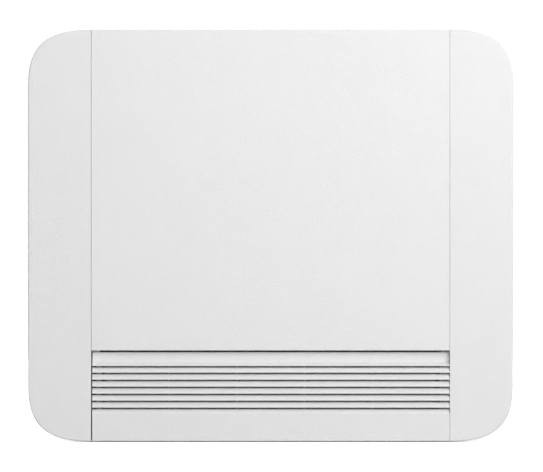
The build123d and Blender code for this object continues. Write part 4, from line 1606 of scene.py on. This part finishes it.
@dataclass
class Controls:
    """The control box with its lid and its cable gland."""

    box_edge: float = 0.4 * MM
    lid_inset: float = 7 * MM
    gland_edge: float = 0.4 * MM
    dome_radius: float = 6.5 * MM
    grip_ribs: int = 12
    grip_edge: float = 0.25 * MM
    lid_screw: CrossScrew = CrossScrew(radius=3.0 * MM, height=2.0 * MM)

    def build(self) -> None:
        """Builds the box, its lid and its gland."""
        dress(refined("control_box", "control_box_moulding", self.box_edge), box_plastic)
        dress(refined("control_box_lid", "control_box_lid_moulding"), box_plastic)
        corners = corner_seats("control_box_lid", self.lid_inset)
        self.lid_screw.fit("control_box_screws", corners, zinc_screw)
        self.gland()

    def gland(self) -> None:
        """Rounds the gland and puts grip ribs on its dome nut."""
        dress(refined("cable_gland", "cable_gland_body", self.gland_edge), moulded_black)
        centre = middle("cable_gland")
        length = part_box("cable_gland")[1].y - centre.y
        low = Vector((-0.5 * MM, 0.4 * MM, self.dome_radius - 0.3 * MM))
        rib = block("rib", low, Vector((0.5 * MM, length - 1.6 * MM, self.dome_radius + 0.6 * MM)))
        round_edges(rib, self.grip_edge)
        turns = [2 * pi / self.grip_ribs * step for step in range(self.grip_ribs)]
        places = [Matrix.Translation(centre) @ Matrix.Rotation(turn, 4, "Y") for turn in turns]
        dress(repeated("cable_gland_ribs", rib, places), moulded_black)


# Studio


@dataclass(frozen=True)
class Softbox:
    """One soft area light."""

    name: str
    place: Triple
    size: float
    power: float

    def hang(self, target: Vector) -> None:
        """Hangs the light and turns it to the unit.

        Args:
            target: what it lights.
        """
        lamp = bpy.data.lights.new(self.name, "AREA")
        lamp.shape = "SQUARE"
        lamp.size = self.size
        lamp.energy = self.power
        box = bpy.data.objects.new(self.name, lamp)
        box.location = self.place
        box.rotation_euler = (target - box.location).to_track_quat("-Z", "Y").to_euler()
        bpy.context.scene.collection.objects.link(box)


@dataclass
class Studio:
    """Pale floor, soft light and the camera of the photograph."""

    photo_width: int = 543
    photo_left: float = 28.0
    photo_right: float = 513.0
    distance: float = 5.0
    sensor: float = 36.0
    dome_rise: Ramp = (-0.25, 0.9, 0.3, 0.42)
    dome_side: Ramp = (-1.0, 1.0, 0.03, 0.63)
    dome_front: Ramp = (-1.0, 0.1, 1.9, 0.6)
    sheet_glow: float = 1.02
    floor_reach: float = 20.0
    floor_tone: Colour = (0.6, 0.6, 0.6)
    floor_roughness: float = 0.9
    floor_specular: float = 0.1
    shade_reach: float = 0.7
    near_glow: float = 0.86
    foot_reach: float = 0.25
    foot_fade: float = 0.04
    shade_side: float = 0.33
    rear_shade: float = 0.45
    softboxes: tuple[Softbox, ...] = (
        Softbox("key", (1.35, -2.8, 1.8), 1.8, 75.5),
        Softbox("left_fill", (-0.5, -3.3, 0.9), 2.0, 12.0),
        Softbox("top", (0.4, -1.5, 2.7), 1.6, 12.0),
        Softbox("overhead", (-0.5, 0.35, 2.8), 1.5, 5.0),
        Softbox("rear_key", (-0.7, 2.9, 1.5), 1.5, 28.0),
        Softbox("rear_fill", (2.0, 2.5, 0.8), 1.6, 26.0),
        Softbox("rear_side", (-1.8, 2.8, 1.0), 1.6, 56.0),
    )

    def build(self) -> None:
        """Builds the floor, the lights and the camera."""
        self.world()
        self.floor()
        low, high = cad_box
        for softbox in self.softboxes:
            softbox.hang((low + high) / 2)
        self.camera()
        scene = bpy.context.scene
        scene.view_settings.view_transform = "Standard"
        scene.view_settings.look = "None"

    def world(self) -> None:
        """Lights the unit from a dome, brightest in front, above and to the right, and seen as white."""
        world = bpy.data.worlds.new("studio")
        bpy.context.scene.world = world
        world.use_nodes = True
        graph = Graph(world.node_tree)
        graph.tree.nodes.clear()
        toward = graph.add("ShaderNodeTexCoord").outputs["Generated"]
        place = graph.add("ShaderNodeSeparateXYZ", {0: toward})
        height = graph.span(place.outputs["Z"], *self.dome_rise)
        side = graph.span(place.outputs["X"], *self.dome_side)
        front = graph.span(place.outputs["Y"], *self.dome_front)
        strength = graph.math("MULTIPLY", graph.math("MULTIPLY", height, side), front)
        white = opaque(LIGHT)
        dome = graph.add("ShaderNodeBackground", {"Color": white, "Strength": strength})
        sheet = graph.add("ShaderNodeBackground", {"Color": white, "Strength": self.sheet_glow})
        seen = graph.add("ShaderNodeLightPath").outputs["Is Camera Ray"]
        mix = graph.add("ShaderNodeMixShader", {0: seen, 1: dome.outputs[0], 2: sheet.outputs[0]})
        graph.add("ShaderNodeOutputWorld", {"Surface": mix.outputs[0]})

    def floor(self) -> None:
        """Lays a round pale floor, which can't be seen from below; to the camera it glows white, and the
        glow is left out under the unit's foot and dimmed near and behind it, painted shade around the
        unit.
        """
        bpy.ops.object.select_all(action="DESELECT")
        bpy.ops.mesh.primitive_circle_add(vertices=96, radius=self.floor_reach, fill_type="NGON")
        floor = bpy.context.object
        floor.name = "studio_floor"
        paint = bpy.data.materials.new("studio_floor")
        paint.use_nodes = True
        graph = Graph(paint.node_tree)
        shader = graph.find("BSDF_PRINCIPLED")
        graph.feed(shader, {
            "Base Color": opaque(self.floor_tone),
            "Roughness": self.floor_roughness,
            "Specular IOR Level": self.floor_specular,
        })
        by_camera = graph.add("ShaderNodeLightPath").outputs["Is Camera Ray"]
        where = graph.add("ShaderNodeTexCoord").outputs["Object"]
        away = graph.add("ShaderNodeVectorMath", {0: where}, operation="LENGTH").outputs["Value"]
        # painted light: the camera sees the floor glow white, dimmed near the unit as painted shade
        rise = graph.span(away, self.shade_reach, 2 * self.shade_reach, self.near_glow, 1.0)
        place = graph.add("ShaderNodeSeparateXYZ", {0: where})
        around = graph.math("MULTIPLY", self.outside(graph, place), self.behind(graph, place))
        strength = graph.math("MULTIPLY", rise, around)
        glow = graph.add("ShaderNodeEmission", {"Color": opaque(LIGHT), "Strength": strength})
        lit = graph.add("ShaderNodeAddShader", {0: shader.outputs[0], 1: glow.outputs[0]})
        seen = graph.add("ShaderNodeMixShader", {0: by_camera, 1: shader.outputs[0], 2: lit.outputs[0]})
        from_below = graph.add("ShaderNodeNewGeometry").outputs["Backfacing"]
        hidden = graph.math("MULTIPLY", from_below, by_camera)
        clear = graph.add("ShaderNodeBsdfTransparent")
        mix = graph.add("ShaderNodeMixShader", {0: hidden, 1: seen.outputs[0], 2: clear.outputs[0]})
        graph.feed(graph.find("OUTPUT_MATERIAL"), {"Surface": mix.outputs[0]})
        floor.data.materials.append(paint)

    def outside(self, graph: Graph, place: bpy.types.Node) -> Socket:
        """Keeps the floor's glow to the floor outside the straight foot of the unit.

        Args:
            graph: the floor's graph.
            place: the node that gives its coordinates.

        Returns:
            0 under the unit and 1 around it.
        """
        aside = graph.math("ABSOLUTE", place.outputs["X"])
        beside = graph.span(aside, self.foot_reach, self.foot_reach + self.foot_fade)
        off_middle = graph.math("ABSOLUTE", place.outputs["Y"])
        before = graph.math("GREATER_THAN", off_middle, cad_box[1].y)
        return graph.math("MAXIMUM", beside, before)

    def behind(self, graph: Graph, place: bpy.types.Node) -> Socket:
        """Dims the floor's glow right behind the unit, painted shade laid over the unit's real soft shade
        there.

        Args:
            graph: the floor's graph.
            place: the node that gives its coordinates.

        Returns:
            Less than 1 in the shade and 1 around it.
        """
        aside = graph.math("ABSOLUTE", place.outputs["X"])
        across = graph.span(aside, self.foot_reach, self.shade_side, 1.0, 0.0)
        away = graph.span(place.outputs["Y"], cad_box[1].y, self.shade_reach, self.rear_shade, 0.0)
        past = graph.math("GREATER_THAN", place.outputs["Y"], cad_box[1].y)
        shade = graph.math("MULTIPLY", graph.math("MULTIPLY", across, away), past)
        return graph.math("SUBTRACT", 1.0, shade)

    def camera(self) -> None:
        """Sets the camera square to the front, at the photograph's scale and place."""
        low, high = cad_box
        scale = (high.x - low.x) / (self.photo_right - self.photo_left)
        aside = (self.photo_width - self.photo_left - self.photo_right) / 2 * scale
        lens = bpy.data.cameras.new("photo_camera")
        lens.sensor_width = self.sensor
        lens.lens = self.sensor * self.distance / (self.photo_width * scale)
        camera = bpy.data.objects.new("photo_camera", lens)
        camera.location = ((low.x + high.x) / 2 + aside, low.y - self.distance, (low.z + high.z) / 2)
        camera.rotation_euler = (pi / 2, 0, 0)
        bpy.context.scene.collection.objects.link(camera)
        bpy.context.scene.camera = camera


def main() -> None:
    """Builds and dresses the unit, piece by piece, and sets up the studio."""
    logging.basicConfig(level=logging.INFO, format="%(name)s: %(message)s")
    coil = Coil()
    parts = (Cabinet(), Chassis(), Filter(), coil, WaterSide(coil), Trays(), FanUnit(), Controls())
    for part in parts:
        log.info("building the %s", type(part).__name__)
        part.build()
    Studio().build()


if __name__ == "__main__":
    main()
